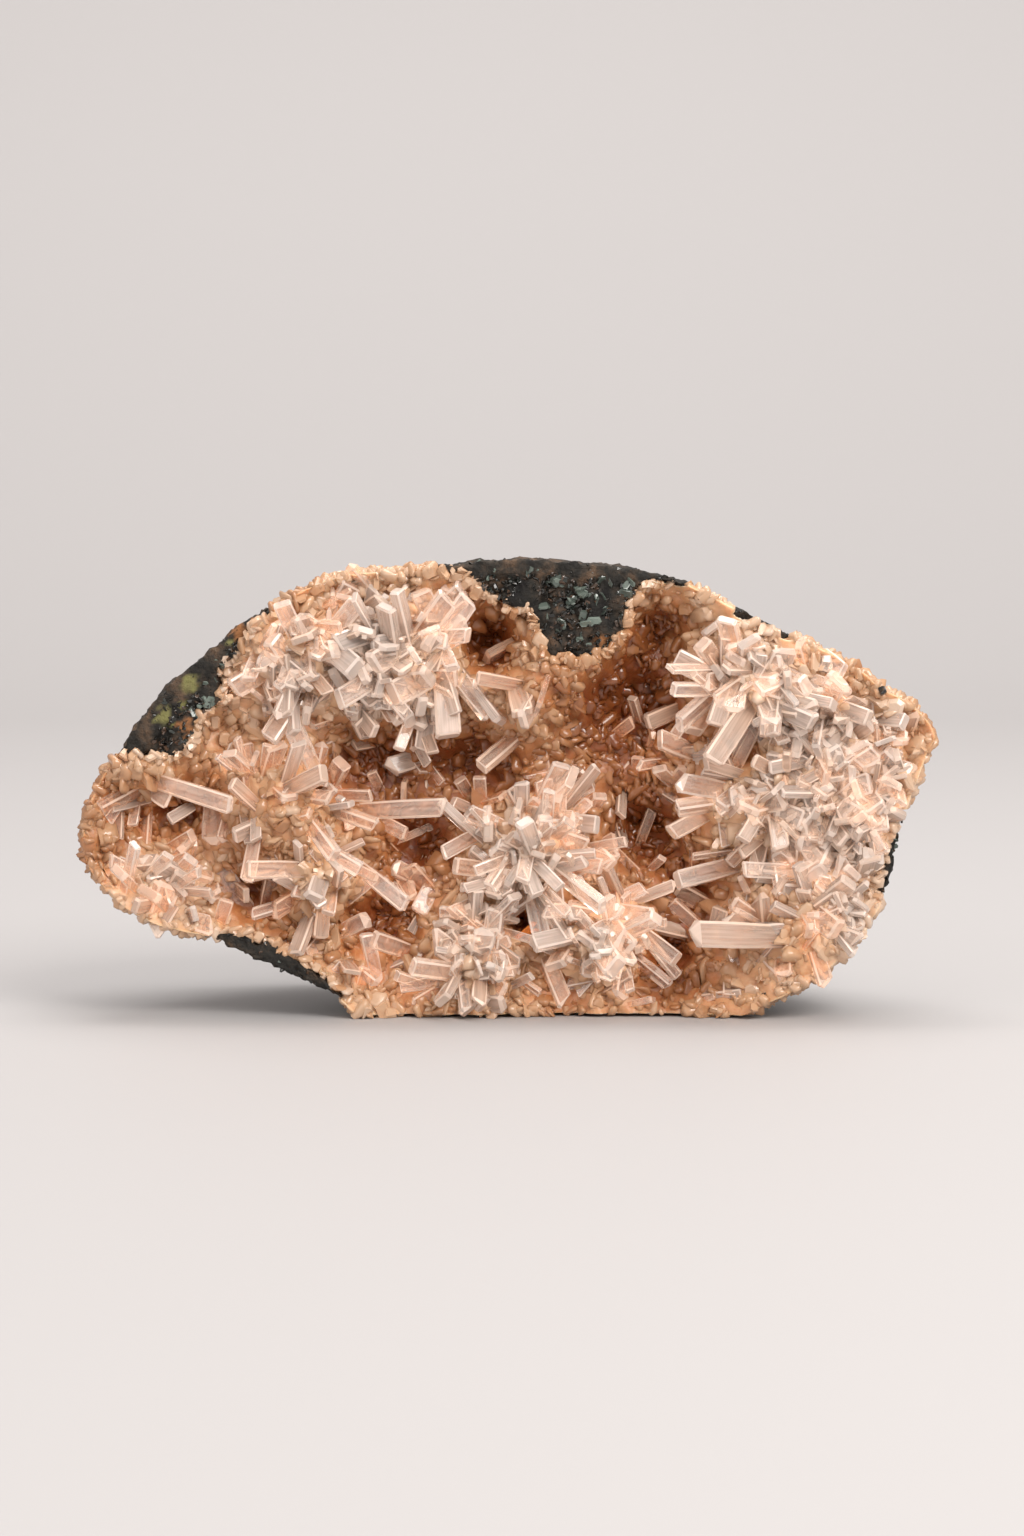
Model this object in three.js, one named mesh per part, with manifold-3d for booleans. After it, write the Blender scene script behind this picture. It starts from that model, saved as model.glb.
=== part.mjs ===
// Half of a crystal-lined basalt nodule, standing upright on its flat foot with its open side
// to the front. The basalt is one solid with a shallow hollow; the crust that lines the hollow,
// with every crystal that grew from it, is the other. Millimetres, +Z up, +Y away from the
// viewer, and the origin on the foot.
import * as THREE from 'three';
import { mergeVertices } from 'three/addons/utils/BufferGeometryUtils.js';
import Module from 'manifold-3d';

const wasm = await Module();
wasm.setup();

// Driving dimensions
const FRONT = -17; // y of the broken front face, which is the rim round the hollow
const BACK = 24; // y of the rearmost basalt
const GAP = 0.35; // clearance between the crust and the basalt behind it
const FOOT_LIFT = 0.5; // height of the crust's lowest edge above the foot
const CRUST_INSET = 0.3; // how far the crust's edge lies inside the outline
const RIM_THICKNESS = 3.2; // crust thickness at the rim
const HOLLOW_DEPTH = 17; // depth of the basalt's hollow behind the rim, in the middle
const LEAST_CRUST = 2; // thinnest crust over the floor of the hollow
const RIM_DIP = 0.5; // how far the crust's edge lies behind the rim
const BOWL_DEPTH = 8; // how far the crust's floor lies behind the rim, before domes and pits
const BARE_DIP = 0.7; // how far the bare basalt lies behind the rim
const BIG_HOLE = 2.3; // gas holes over this radius are rounder
const NARROW = 2; // crystals under this width have four sides, not six
const FAR = 60; // reach of the cutting blocks, well outside the stone
const LONG_SIDE = 6.5; // sides of the outline over this length get a middle point
const COARSE = 8; // grid spacing of the hollow's floor
const FINE = 5; // grid spacing of the bare basalt
const CRUST_GRID = 4.4; // grid spacing of the crust's front

// The centre that the outline is measured from, and the point that the back narrows towards
const CENTRE = { x: 0, z: 32 };
const BACK_CENTRE = { x: 2, z: 20 };

// The stone from front to back: the share of the outline that a section fills, and its y
const SOLID_RIM = FRONT + 5; // y back to which the section stays as wide as the outline
const SECTIONS = [
  [0, FRONT - 3], [1, FRONT - 3], [1, SOLID_RIM], [0.985, -6], [0.95, 0.5], [0.88, 7],
  [0.77, 13], [0.62, 18], [0.38, 22], [0, BACK],
];

// The stone's outline from the front, clockwise from its left tip, as x and z
const OUTLINE = [
  [-61, 25.5], [-60.7, 29.5], [-59, 33.2], [-57, 37], [-53.8, 41.6], [-48.5, 48.2],
  [-44.5, 51.5], [-40, 55.3], [-35, 58.8], [-27, 62.9], [-22, 64.2], [-15, 64.6],
  [-4, 65.8], [4, 66.2], [12, 65.5], [20, 64.3], [25, 62.9], [34, 58.4], [45, 53.3],
  [50.5, 50.3], [53.5, 47.6], [57, 46], [60.2, 43], [61.2, 40.7], [60, 38.8], [57.2, 31],
  [55.8, 25], [54.4, 18.5], [50.3, 11], [43.5, 5.5], [35, 1], [28, -2.5], [4, -3],
  [-20, -1.5], [-25, 3.6], [-33, 7], [-38, 9.3], [-42, 11.8], [-50, 13.5], [-55, 16.2],
  [-58.5, 19.5], [-60.5, 22.3],
];

// Patches of the front where the basalt is bare: the wedge at the top, the strip at the upper
// left, the belly at the lower left, and slivers along the right edge
const BARE_PATCHES = {
  wedge: [
    [-10, 64.4], [-5.8, 64.4], [-4.3, 63], [-3.5, 61.5], [-1.2, 60.5], [0.8, 59.2], [3, 59.4],
    [4, 57.5], [4.3, 55], [5, 52.5], [6.3, 51.6], [8.5, 52.3], [10.8, 51.3], [12.5, 52.6],
    [16, 55], [16.8, 57.5], [18.5, 62.2], [20.5, 63.4], [25, 62.6], [25, 70], [-10, 70],
  ],
  upperLeft: [
    [-55.3, 38.3], [-52, 38.2], [-48, 37.8], [-46, 39.2], [-44.4, 43.2], [-41, 46],
    [-41.5, 50.2], [-38.4, 53], [-36, 56.8], [-34, 59], [-40, 64], [-60, 48],
  ],
  belly: [
    [-42, 12.2], [-40, 12.3], [-34.3, 11.1], [-31, 9], [-27.5, 6.5], [-24, 3.4], [-30, -2],
    [-46, 8],
  ],
  rightEdge: [[56.6, 29.8], [55.6, 26], [55.2, 23.4], [53.8, 22.6], [54, 19], [60, 16], [62, 28]],
  rightTop: [[32.6, 58.4], [36, 56.5], [40, 55], [42, 58], [34, 62]],
};

// Domes and pits of the crust from the front: x, z, radius, and height towards the viewer
const RELIEF = [
  [-14, 51, 9, 8], [-30, 52, 8, 6], [-32, 30, 8, 9], [3, 24, 8, 9], [36, 49, 8, 8],
  [34, 31, 7, 7], [47, 36, 10, 7], [14, 12, 7, 8], [-5, 9, 7, 7], [42, 14, 8, 7],
  [-27, 20, 6, 6], [3, 45, 7, 6], [10, 53, 8, 8], [-50, 36, 5, 5], [-50, 19, 6, 3],
  [-3, 54, 3.5, -7], [18, 46, 7, -6], [22, 56, 4, -4], [-48, 29, 6, -5], [-20, 37, 6, -4],
  [-5, 36, 5, -4], [-13, 25, 4, -4], [20, 26, 5, -6], [33.5, 39, 2.5, -5], [22, 9, 4, -4],
  [2.5, 13.5, 2.2, -5], [-36, 17, 4, -3], [-19, 14, 5, -4], [27, 17, 3, -4], [-23, 61, 2, -3],
];

// Crystals from the front: foot x and z, tip x and z, width, how far the tip stands out in
// front of the foot, and whether the end is a point (1) or blunt (0)
const CRYSTALS = {
  upperLeft: [
    [-29.5, 54, -32, 60, 2.6, 3, 0], [-29.5, 50.5, -32.4, 43.6, 2.6, 3, 1],
    [-26, 54, -21.5, 50.6, 3.4, 4, 0], [-18, 49.8, -24, 46.3, 3, 4, 0],
    [-20.5, 45.6, -16.6, 45.5, 2, 3, 0], [-22.5, 45.2, -19, 41.2, 2.2, 3, 0],
    [-35.5, 53, -37, 49, 2.2, 2, 0],
    [-33, 47, -27.5, 45.2, 2.4, 1, 0], [-25, 58.5, -28.5, 57.4, 2.4, 2, 0],
  ],
  upperMiddle: [
    [-10, 50, -16.4, 47, 3.8, 4, 0], [-10.5, 55, -5.6, 55.4, 2.2, 3, 0],
    [-9, 56.5, -8.4, 62, 2.2, 2, 0], [-8, 57, -18, 58.9, 2.8, 3, 0],
    [-21.5, 55.3, -19.5, 59.3, 2.6, 3, 1], [-15, 54, -19.2, 51.4, 3.6, 4, 0],
    [-9.5, 54, -7.8, 50.7, 2, 4, 0],
    [-9.2, 50, -8.5, 40.8, 3.6, 2, 0], [-13.4, 44.5, -15.6, 38.9, 1.7, 3, 0],
    [-12.8, 43.6, -10.7, 38.3, 1.8, 3, 0],
  ],
  middle: [
    [-18.4, 39.2, -22.4, 38.8, 1.8, 2, 0], [-11.5, 37.2, -17.4, 35.6, 2.8, 1, 1],
    [-25.4, 36.4, -26.5, 39.4, 2.4, 1, 0], [-25.6, 33.2, -23.8, 36.8, 2.6, 3, 0],
    [2, 41, -3.9, 36.4, 2.4, 4, 0], [3, 47.8, -4.4, 49.4, 2, 3, 0],
    [-5.4, 31, -7, 34, 1.9, 1, 0], [-3.8, 30.5, -4.1, 34.5, 1.9, 1, 0],
  ],
  leftBall: [
    [-27.2, 33.6, -30.8, 42.4, 2.6, 3, 0], [-26, 32, -19.6, 32.1, 1.8, 2, 0],
    [-23, 29.4, -9, 30.4, 2.7, 3, 0], [-16.2, 22.6, -21.7, 28.5, 2, 4, 0],
    [-20, 28.6, -14.7, 26, 2.1, 1, 0], [-17.8, 30.8, -19.8, 35, 1.6, 1, 0],
    [-36, 34.6, -39.8, 38.5, 2.2, 3, 0], [-35, 35, -34.2, 39.6, 1.8, 2, 0],
    [-34.6, 37, -28.8, 31.1, 1, 1, 0], [-38.6, 32.6, -37, 25.3, 1.5, 3, 0],
    [-42.6, 30.6, -42.5, 24.6, 3.2, 2, 1], [-51.5, 34.6, -39.3, 31.2, 2.6, 4, 0],
  ],
  leftHollow: [
    [-52.5, 33.4, -58.4, 30.3, 2.4, 2, 0], [-45, 30.4, -49, 28.2, 1.8, 2, 0],
    [-56, 30.6, -56, 25.8, 1.6, 1, 0], [-53.4, 31.5, -54, 27.7, 1.5, 1, 0],
    [-55.2, 17.5, -53, 25.7, 1.8, 4, 0], [-52.3, 19.8, -48.4, 24, 1.8, 3, 0],
    [-49.3, 23.8, -45.4, 26.3, 1.9, 3, 0], [-48, 20.2, -45.3, 23.2, 2.3, 3, 0],
    [-49, 18.2, -44, 21.6, 1.5, 4, 0], [-44.6, 25, -41.4, 22.6, 1.7, 1, 0],
    [-37.6, 14.4, -42.2, 21.6, 3.2, 0, 0],
  ],
  lowerLeft: [
    [-34.4, 14, -27.3, 15, 2, 3, 0], [-35.4, 15, -34.2, 20, 2, 2, 0],
    [-27.5, 21.6, -37.2, 22, 2.6, 3, 0], [-26.6, 21.5, -27.8, 17.8, 2.8, 3, 0],
    [-25.4, 18.4, -25.8, 15.2, 2, 2, 0], [-22.4, 22.2, -14.6, 16.2, 2.4, 2, 0],
    [-15.2, 18, -12.6, 21.2, 2.1, 3, 1], [-8.6, 22.8, -13, 14.8, 2.6, 3, 0],
    [-24.8, 11.4, -20, 14.3, 2.4, 3, 1],
    [-15, 12.2, -16.7, 19, 2, 0, 0], [-19, 5, -20.4, 12, 2, 1, 0],
    [-13.8, 8.8, -19.5, 11.3, 2.6, 3, 0], [-11.6, 4.2, -16, 6.3, 1.5, 3, 0],
  ],
  lowerMiddle: [
    [-5.6, 6.4, -13.7, 8.2, 2.7, 4, 0], [-4.6, 7, -3.2, 13.6, 3, 3, 1],
    [-3.6, 8.6, -0.3, 9.3, 2.2, 2, 1], [-9, 12, -9, 16, 1.7, 1, 0],
    [-2.6, 17, -8, 15.2, 2.2, 3, 0], [-2.6, 21.2, -7.6, 22.4, 2.5, 4, 0],
   
    [-0.4, 3.8, 3.4, 6.3, 1.3, 3, 0], [8.4, 8.8, 3.7, 11.4, 1.9, 3, 0],
    [5, 9.4, 8.2, 2.4, 2.4, 4, 0],
  ],
  centreBall: [
    [-4.6, 29.2, -8, 31, 1.7, 2, 0], [0, 27.4, -5.6, 30.2, 2.1, 3, 0],
    [-3, 27, -9.3, 24, 2.2, 4, 0], [2, 29, 2, 34.2, 2.2, 2, 0],
    [4.6, 30, 7.8, 36.8, 2.8, 3, 0], [5.6, 33.5, 4.4, 39.6, 2.1, 0, 0],
    [7, 31.2, 12.3, 34, 2.6, 1, 0], [11.2, 28.6, 13.4, 32, 2, 2, 0],
    [8.6, 28, 12.9, 27.9, 2.6, 2, 0], [10.4, 24, 17, 25.6, 1.6, 3, 0],
    [9.4, 24.2, 15, 22.2, 2.2, 3, 0], [5.8, 23.2, 0.2, 26.8, 2.2, 4, 0],
    [5.4, 22.6, 13.6, 16.7, 2.9, 4, 0], [14.6, 24, 22.2, 16.1, 2.2, 1, 0],
    [6, 26, 8.8, 29, 2.2, 5, 0],
  ],
  rightHollow: [
    [16.6, 42.6, 17.1, 37.6, 1.3, 2, 0], [19.5, 41, 18, 45.8, 1.6, 3, 0],
    [25.4, 44.4, 20, 42.2, 2.4, 1, 0], [28, 37.2, 21.8, 40.1, 2.8, 2, 0],
    [22.6, 36.4, 18.9, 36.2, 1.6, 3, 0], [24.8, 32.8, 21.7, 35.8, 2, 2, 0],
    [19.6, 30, 16.6, 35.9, 2.4, 2, 0], [16.7, 33.2, 16.3, 28.7, 1.6, 2, 0],
    [18.8, 23, 21, 29.3, 1.5, 1, 0],
  ],
  upperRight: [
    [31, 50.5, 23, 50.6, 1.7, 3, 0], [31, 47.3, 23.4, 47.7, 2, 4, 0],
    [32.6, 52, 31, 57.7, 2.9, 3, 0], [30, 50.8, 27.6, 54.2, 2.6, 3, 0],
    [29, 44.4, 26.6, 41.3, 2.4, 3, 0], [35, 46, 28.9, 37.7, 3.2, 5, 0],
    [36, 47, 37.6, 43, 2.6, 4, 1], [38, 47.6, 42.4, 48.4, 3, 3, 0],
    [46, 45.4, 51.4, 43.6, 2.5, 3, 0], [44.6, 42.8, 52, 36.7, 2.7, 4, 0],
    [45, 52.5, 47.6, 50.2, 2.4, 2, 0], [38, 38, 38.8, 41.4, 2.2, 3, 0],
    [38.4, 41, 41, 38.6, 2, 3, 0], [45, 38.6, 45.8, 36.6, 2.3, 3, 0],
  ],
  rightBall: [
    [32, 32.6, 24.2, 34.5, 2.9, 4, 1], [29, 29.4, 23.4, 26.9, 2.4, 3, 0],
    [38.2, 26.2, 34.4, 31, 2.6, 3, 0],
    [48.4, 23.8, 41.2, 25.9, 2.6, 3, 1], [34, 21.9, 24.3, 20, 2.7, 4, 0],
    [43, 21, 33.7, 21.9, 2.3, 3, 0], [50.4, 20.6, 52.4, 24.2, 3.4, 3, 0],
    [42, 33, 44, 30, 2.4, 3, 0], [50, 31, 53, 28, 2.8, 2, 0], [52, 36, 55, 38.6, 2.8, 2, 0],
  ],
  lowerRight: [
    [39.6, 12, 26, 13.1, 3.8, 4, 1], [32.2, 9.6, 31.9, 3.1, 2, 3, 0],
    [18.8, 12.4, 24.2, 8.7, 2.4, 4, 0], [16.8, 8.4, 17.6, 4.1, 1.4, 3, 0],
    [13, 15.6, 5.2, 15.7, 1.9, 2, 0], [15, 15.6, 21.1, 15.2, 2.4, 4, 1],
    [13, 11, 15.4, 8, 3.6, 4, 0], [43, 16.5, 47, 13.4, 3.4, 3, 0],
    [47, 17.4, 49.6, 12.6, 3.2, 3, 0], [28, 6.4, 29.4, 2, 2, 2, 0],
    [22, 4, 16.4, 4.2, 2, 1, 0], [37, 9, 39.6, 6.8, 2.6, 2, 0],
  ],
};

// Flat chips knocked off the back: a point on each broken face, and the way that it faces
const CHIPS = [
  { at: [42, 8, 46], facing: [0.62, 0.52, 0.42] },
  { at: [-44, 4, 45], facing: [-0.6, 0.55, 0.5] },
  { at: [0, 14, 55], facing: [0.1, 0.72, 0.7] },
  { at: [-36, 8, 14], facing: [-0.45, 0.55, -0.62] },
  { at: [45, 2, 10], facing: [0.6, 0.45, -0.6] },
  { at: [12, 22.5, 34], facing: [0.12, 1, -0.1] },
];

// Gas holes in the basalt, mostly in its back: centre and radius
const GAS_HOLES = [
  [-22, 20, 32, 2.6], [-8, 22.6, 22, 2], [16, 22.4, 42, 2.8], [25, 19, 22, 2.2],
  [33, 12, 40, 2.6], [-34, 12, 36, 2.4], [-3, 18.5, 50, 2.2], [-8, 23, 40, 1.8],
  [40, 8, 24, 2.2], [10, -16.6, 59, 1.6], [6, -16.6, 62, 1.2], [-47, -16.2, 46, 1.3],
];

// A closed three.js shape as a solid that can be joined and cut
function solid(geometry) {
  const bare = geometry.clone();
  bare.deleteAttribute('normal');
  bare.deleteAttribute('uv');
  const merged = mergeVertices(bare, 1e-4);
  const index = merged.index.array;
  const kept = [];
  for (let i = 0; i < index.length; i += 3) {
    const [a, b, c] = index.slice(i, i + 3);
    if (a !== b && b !== c && c !== a) kept.push(a, b, c);
  }
  return new wasm.Manifold(new wasm.Mesh({
    numProp: 3,
    vertProperties: new Float32Array(merged.attributes.position.array),
    triVerts: new Uint32Array(kept),
  }));
}

// A solid as a three.js geometry
function geometryOf(manifold) {
  const mesh = manifold.getMesh();
  const geometry = new THREE.BufferGeometry();
  const points = new Float32Array((mesh.vertProperties.length / mesh.numProp) * 3);
  for (let i = 0; i < points.length / 3; i++) {
    for (let k = 0; k < 3; k++) points[3 * i + k] = mesh.vertProperties[i * mesh.numProp + k];
  }
  geometry.setAttribute('position', new THREE.BufferAttribute(points, 3));
  geometry.setIndex(new THREE.BufferAttribute(new Uint32Array(mesh.triVerts), 1));
  geometry.computeVertexNormals();
  return geometry;
}

// The largest of a solid's separate bodies, without enclosed bubbles
function largest(manifold) {
  const bodies = manifold.decompose();
  return bodies.reduce((best, body) => (body.volume() > best.volume() ? body : best));
}

// Smooth unevenness between -1 and 1, from waves that don't line up
function waves(x, y, z, scale) {
  const [u, v, w] = [x / scale, y / scale, z / scale];
  return (Math.sin(1.9 * u + 1.3 * w + 0.4) + Math.sin(2.3 * v - 1.7 * u + 1.9)
    + Math.sin(2.9 * w + 1.1 * v + 2.6) + Math.sin(3.7 * u + 2.2 * w - 3.1 * v)) / 4;
}

// Points round the smoothed outline, clockwise: its corners, and a middle one on each long side
function outlineRing() {
  const corners = OUTLINE.map(([x, z]) => new THREE.Vector3(x, 0, z));
  const curve = new THREE.CatmullRomCurve3(corners, true, 'centripetal');
  return corners.flatMap((corner, i) => {
    const next = corners[(i + 1) % corners.length];
    const middle = curve.getPoint((i + 0.5) / corners.length);
    return corner.distanceTo(next) > LONG_SIDE ? [corner, middle] : [corner];
  });
}
const RING = outlineRing();

// The outline's radius from its centre at any angle, straight between the ring's points
function outlineRadius() {
  const samples = RING
    .map((p) => ({
      angle: Math.atan2(p.z - CENTRE.z, p.x - CENTRE.x),
      radius: Math.hypot(p.x - CENTRE.x, p.z - CENTRE.z),
    }))
    .sort((p, q) => p.angle - q.angle);
  const [first, last] = [samples[0], samples[samples.length - 1]];
  samples.unshift({ angle: last.angle - 2 * Math.PI, radius: last.radius });
  samples.push({ angle: first.angle + 2 * Math.PI, radius: first.radius });
  return (angle) => {
    const after = samples.findIndex((s) => s.angle >= angle);
    const [p, q] = [samples[Math.max(after - 1, 0)], samples[after]];
    return THREE.MathUtils.lerp(p.radius, q.radius, (angle - p.angle) / (q.angle - p.angle || 1));
  };
}
const radiusAt = outlineRadius();

// How far out a front point lies: 0 at the centre, 1 on the outline
function reach(x, z) {
  const [dx, dz] = [x - CENTRE.x, z - CENTRE.z];
  return Math.hypot(dx, dz) / radiusAt(Math.atan2(dz, dx));
}

// The floor of the basalt's hollow, and the crust's back a gap in front of it
function hollowFloor(x, z) {
  const out = Math.min(reach(x, z), 1);
  return FRONT + RIM_THICKNESS + (HOLLOW_DEPTH - RIM_THICKNESS) * (1 - out ** 4);
}

// The crust's front: a bowl with domes and pits, uneven all over
function crustFront(x, z) {
  const out = Math.min(reach(x, z), 1);
  let dip = RIM_DIP + BOWL_DEPTH * (1 - out ** 5);
  for (const [rx, rz, radius, height] of RELIEF) {
    dip -= height * Math.exp(-((x - rx) ** 2 + (z - rz) ** 2) / radius ** 2);
  }
  dip += 0.7 * waves(x, 0, z, 2.2);
  const deepest = hollowFloor(x, z) - FRONT - LEAST_CRUST;
  return FRONT + THREE.MathUtils.clamp(dip, -1, deepest);
}

// The bare basalt's front, a little behind the rim
function basaltFront(x, z) {
  return FRONT + BARE_DIP + 0.5 * waves(x, 3, z, 2.6);
}

// A block of the whole front, shaped on one side by a surface y(x, z): everything behind that
// surface, or everything in front of it
function block(surface, cell, side) {
  const [width, height] = [132, 76];
  const geometry = new THREE.BoxGeometry(
    width, FAR, height, Math.round(width / cell), 1, Math.round(height / cell),
  );
  const position = geometry.attributes.position;
  for (let i = 0; i < position.count; i++) {
    const [x, z] = [position.getX(i), position.getZ(i) + 32];
    const shaped = Math.sign(position.getY(i)) === side;
    position.setXYZ(i, x, shaped ? surface(x, z) : -side * FAR, z);
  }
  return solid(geometry);
}
const behind = (surface, cell) => block(surface, cell, -1);
const inFrontOf = (surface, cell) => block(surface, cell, 1);

// A front outline drawn out from front to back, as a straight block
function drawnThrough(points) {
  const shape = new THREE.Shape(points.map(([x, z]) => new THREE.Vector2(x, z)));
  const geometry = new THREE.ExtrudeGeometry(shape, { depth: 2 * FAR, bevelEnabled: false });
  geometry.rotateX(Math.PI / 2);
  geometry.translate(0, FAR, 0);
  return solid(geometry);
}

// A patch's outline moved out by a margin on every side
function grown(patch, margin) {
  const corners = patch.map(([x, z]) => new THREE.Vector2(x, z));
  const outward = THREE.ShapeUtils.isClockWise(corners) ? -1 : 1;
  return corners.map((corner, i) => {
    const before = corners[(i + corners.length - 1) % corners.length];
    const after = corners[(i + 1) % corners.length];
    const normals = [corner.clone().sub(before), after.clone().sub(corner)]
      .map((edge) => new THREE.Vector2(edge.y, -edge.x).normalize().multiplyScalar(outward));
    const middle = normals[0].clone().add(normals[1]).normalize();
    const step = margin / Math.max(middle.dot(normals[0]), 0.4);
    return [corner.x + middle.x * step, corner.y + middle.y * step];
  });
}

// The area of the front that the crust covers, a little inside the outline and above the foot
function crustArea() {
  return RING.map((p) => {
    const share = 1 - CRUST_INSET / Math.hypot(p.x - CENTRE.x, p.z - CENTRE.z);
    const z = CENTRE.z + (p.z - CENTRE.z) * share;
    return [CENTRE.x + (p.x - CENTRE.x) * share, Math.max(z, FOOT_LIFT)];
  });
}

// The nodule's outer form: sections of the outline's shape, narrowing to an uneven back
function noduleForm() {
  const profile = SECTIONS.map(([share, y]) => new THREE.Vector2(share, y));
  const geometry = new THREE.LatheGeometry(profile, RING.length);
  const position = geometry.attributes.position;
  for (let i = 0; i < position.count; i++) {
    const [share, y] = SECTIONS[i % SECTIONS.length];
    const rim = RING[Math.floor(i / SECTIONS.length) % RING.length];
    const out = new THREE.Vector3(rim.x - CENTRE.x, 0, rim.z - CENTRE.z);
    const at = out.clone().multiplyScalar(share).setY(y);
    at.x += THREE.MathUtils.lerp(BACK_CENTRE.x, CENTRE.x, share);
    at.z += THREE.MathUtils.lerp(BACK_CENTRE.z, CENTRE.z, share);
    const toBack = share * THREE.MathUtils.smoothstep(y, SOLID_RIM, SOLID_RIM + 22);
    const rough = toBack * (1.7 * waves(at.x, y, at.z, 8) + 0.9 * waves(at.x, y, at.z, 3.4));
    at.addScaledVector(out.normalize(), rough);
    position.setXYZ(i, at.x, at.y + 0.8 * rough, at.z);
  }
  return solid(geometry);
}

// A large block whose near side is the broken face
function chips() {
  return CHIPS.map(({ at, facing }) => {
    const size = 2 * FAR;
    const geometry = new THREE.BoxGeometry(size, size, size);
    geometry.translate(0, size / 2, 0);
    const turn = new THREE.Quaternion()
      .setFromUnitVectors(new THREE.Vector3(0, 1, 0), new THREE.Vector3(...facing).normalize());
    geometry.applyQuaternion(turn);
    geometry.translate(...at);
    return solid(geometry);
  });
}

function gasHoles() {
  return GAS_HOLES.map(([x, y, z, radius]) => {
    const geometry = new THREE.IcosahedronGeometry(radius, radius > BIG_HOLE ? 1 : 0);
    geometry.scale(1.2, 1, 0.85);
    geometry.rotateY(x);
    geometry.translate(x, y, z);
    return solid(geometry);
  });
}

function belowFoot() {
  const geometry = new THREE.BoxGeometry(4 * FAR, 4 * FAR, FAR);
  geometry.translate(0, 0, -FAR / 2);
  return solid(geometry);
}

// A prism with a blunt or pointed end, from its foot to its tip; narrow ones are four-sided
function crystal(foot, tip, width, pointed, roll) {
  const axis = new THREE.Vector3().subVectors(tip, foot);
  const length = axis.length();
  const radius = width / 2;
  const profile = [new THREE.Vector2(0, 0), new THREE.Vector2(0.9 * radius, 0)];
  if (pointed) {
    profile.push(new THREE.Vector2(radius, length - 1.1 * radius));
    profile.push(new THREE.Vector2(0.3 * radius, length));
  } else {
    profile.push(new THREE.Vector2(radius, length));
  }
  profile.push(new THREE.Vector2(0, length));
  const geometry = new THREE.LatheGeometry(profile, width < NARROW ? 4 : 6);
  geometry.scale(1, 1, 0.8);
  geometry.rotateY(roll);
  const turn = new THREE.Quaternion()
    .setFromUnitVectors(new THREE.Vector3(0, 1, 0), axis.normalize());
  geometry.applyQuaternion(turn);
  geometry.translate(foot.x, foot.y, foot.z);
  return solid(geometry);
}

// Every crystal, with its foot sunk into the crust
function crystals() {
  const sunk = 1.2;
  const goldenAngle = 2.4;
  return Object.values(CRYSTALS).flat().map(([fx, fz, tx, tz, width, rise, pointed], i) => {
    const footY = crustFront(fx, fz) + sunk;
    const foot = new THREE.Vector3(fx, footY, fz);
    const tip = new THREE.Vector3(tx, footY - sunk - rise, tz);
    return crystal(foot, tip, width, pointed, i * goldenAngle);
  });
}

const join = (solids) => solids.reduce((whole, piece) => whole.add(piece));
const cut = (whole, solids) => solids.reduce((rest, piece) => rest.subtract(piece), whole);

// The basalt: the nodule's form behind its front face, less the hollow that the crust fills
function basalt() {
  const hollow = inFrontOf(hollowFloor, COARSE);
  const patches = Object.values(BARE_PATCHES).map(drawnThrough);
  const body = noduleForm().intersect(behind(basaltFront, FINE));
  const stone = body.subtract(cut(hollow, patches));
  return largest(cut(stone, [belowFoot(), ...chips(), ...gasHoles()]));
}

// The crust: its area between its front and the hollow's floor, joined with its crystals
function crust() {
  const patches = Object.values(BARE_PATCHES).map((patch) => drawnThrough(grown(patch, GAP)));
  const area = cut(drawnThrough(crustArea()), patches);
  const room = area.intersect(inFrontOf((x, z) => hollowFloor(x, z) - GAP, COARSE));
  const overBasalt = inFrontOf((x, z) => basaltFront(x, z) - GAP, FINE);
  const core = room.intersect(behind(crustFront, CRUST_GRID));
  const grownCrystals = join(crystals()).intersect(room.add(overBasalt));
  return largest(core.add(grownCrystals).subtract(belowFoot()));
}

const nodule = new THREE.Group();
const stone = new THREE.Mesh(
  geometryOf(basalt()),
  new THREE.MeshStandardMaterial({ color: 0x2b2a27, roughness: 0.9, metalness: 0 }),
);
stone.name = 'basalt_matrix';
const lining = new THREE.Mesh(
  geometryOf(crust()),
  new THREE.MeshStandardMaterial({ color: 0xe6bfa6, roughness: 0.35, metalness: 0 }),
);
lining.name = 'crystal_crust';
nodule.add(stone, lining);

// The origin goes to the middle of the base of the whole object's bounding box
const middle = new THREE.Box3().setFromObject(nodule).getCenter(new THREE.Vector3());
for (const mesh of nodule.children) mesh.geometry.translate(-middle.x, -middle.y, 0);

export default nodule;
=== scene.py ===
import math
import bmesh
import bpy
import numpy as np
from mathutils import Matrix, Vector, noise


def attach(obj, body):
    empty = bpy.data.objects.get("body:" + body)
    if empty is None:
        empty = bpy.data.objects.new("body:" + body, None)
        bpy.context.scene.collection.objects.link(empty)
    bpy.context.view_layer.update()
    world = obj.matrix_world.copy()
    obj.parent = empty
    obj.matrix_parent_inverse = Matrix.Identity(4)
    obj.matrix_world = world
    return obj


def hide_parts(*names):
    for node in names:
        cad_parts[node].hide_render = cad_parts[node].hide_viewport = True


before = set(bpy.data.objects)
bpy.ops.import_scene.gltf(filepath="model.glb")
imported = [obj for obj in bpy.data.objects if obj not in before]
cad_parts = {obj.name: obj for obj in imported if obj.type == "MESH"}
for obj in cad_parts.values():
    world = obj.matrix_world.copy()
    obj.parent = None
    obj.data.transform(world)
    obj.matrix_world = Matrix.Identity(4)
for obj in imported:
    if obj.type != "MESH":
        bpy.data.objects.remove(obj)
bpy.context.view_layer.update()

# Lengths below are in millimetres, as in the solids; MM turns them into metres
MM = 0.001
SHIFT = np.array([-0.1, 0.08, 0.0])  # from the drawing's origin to the row's

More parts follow.
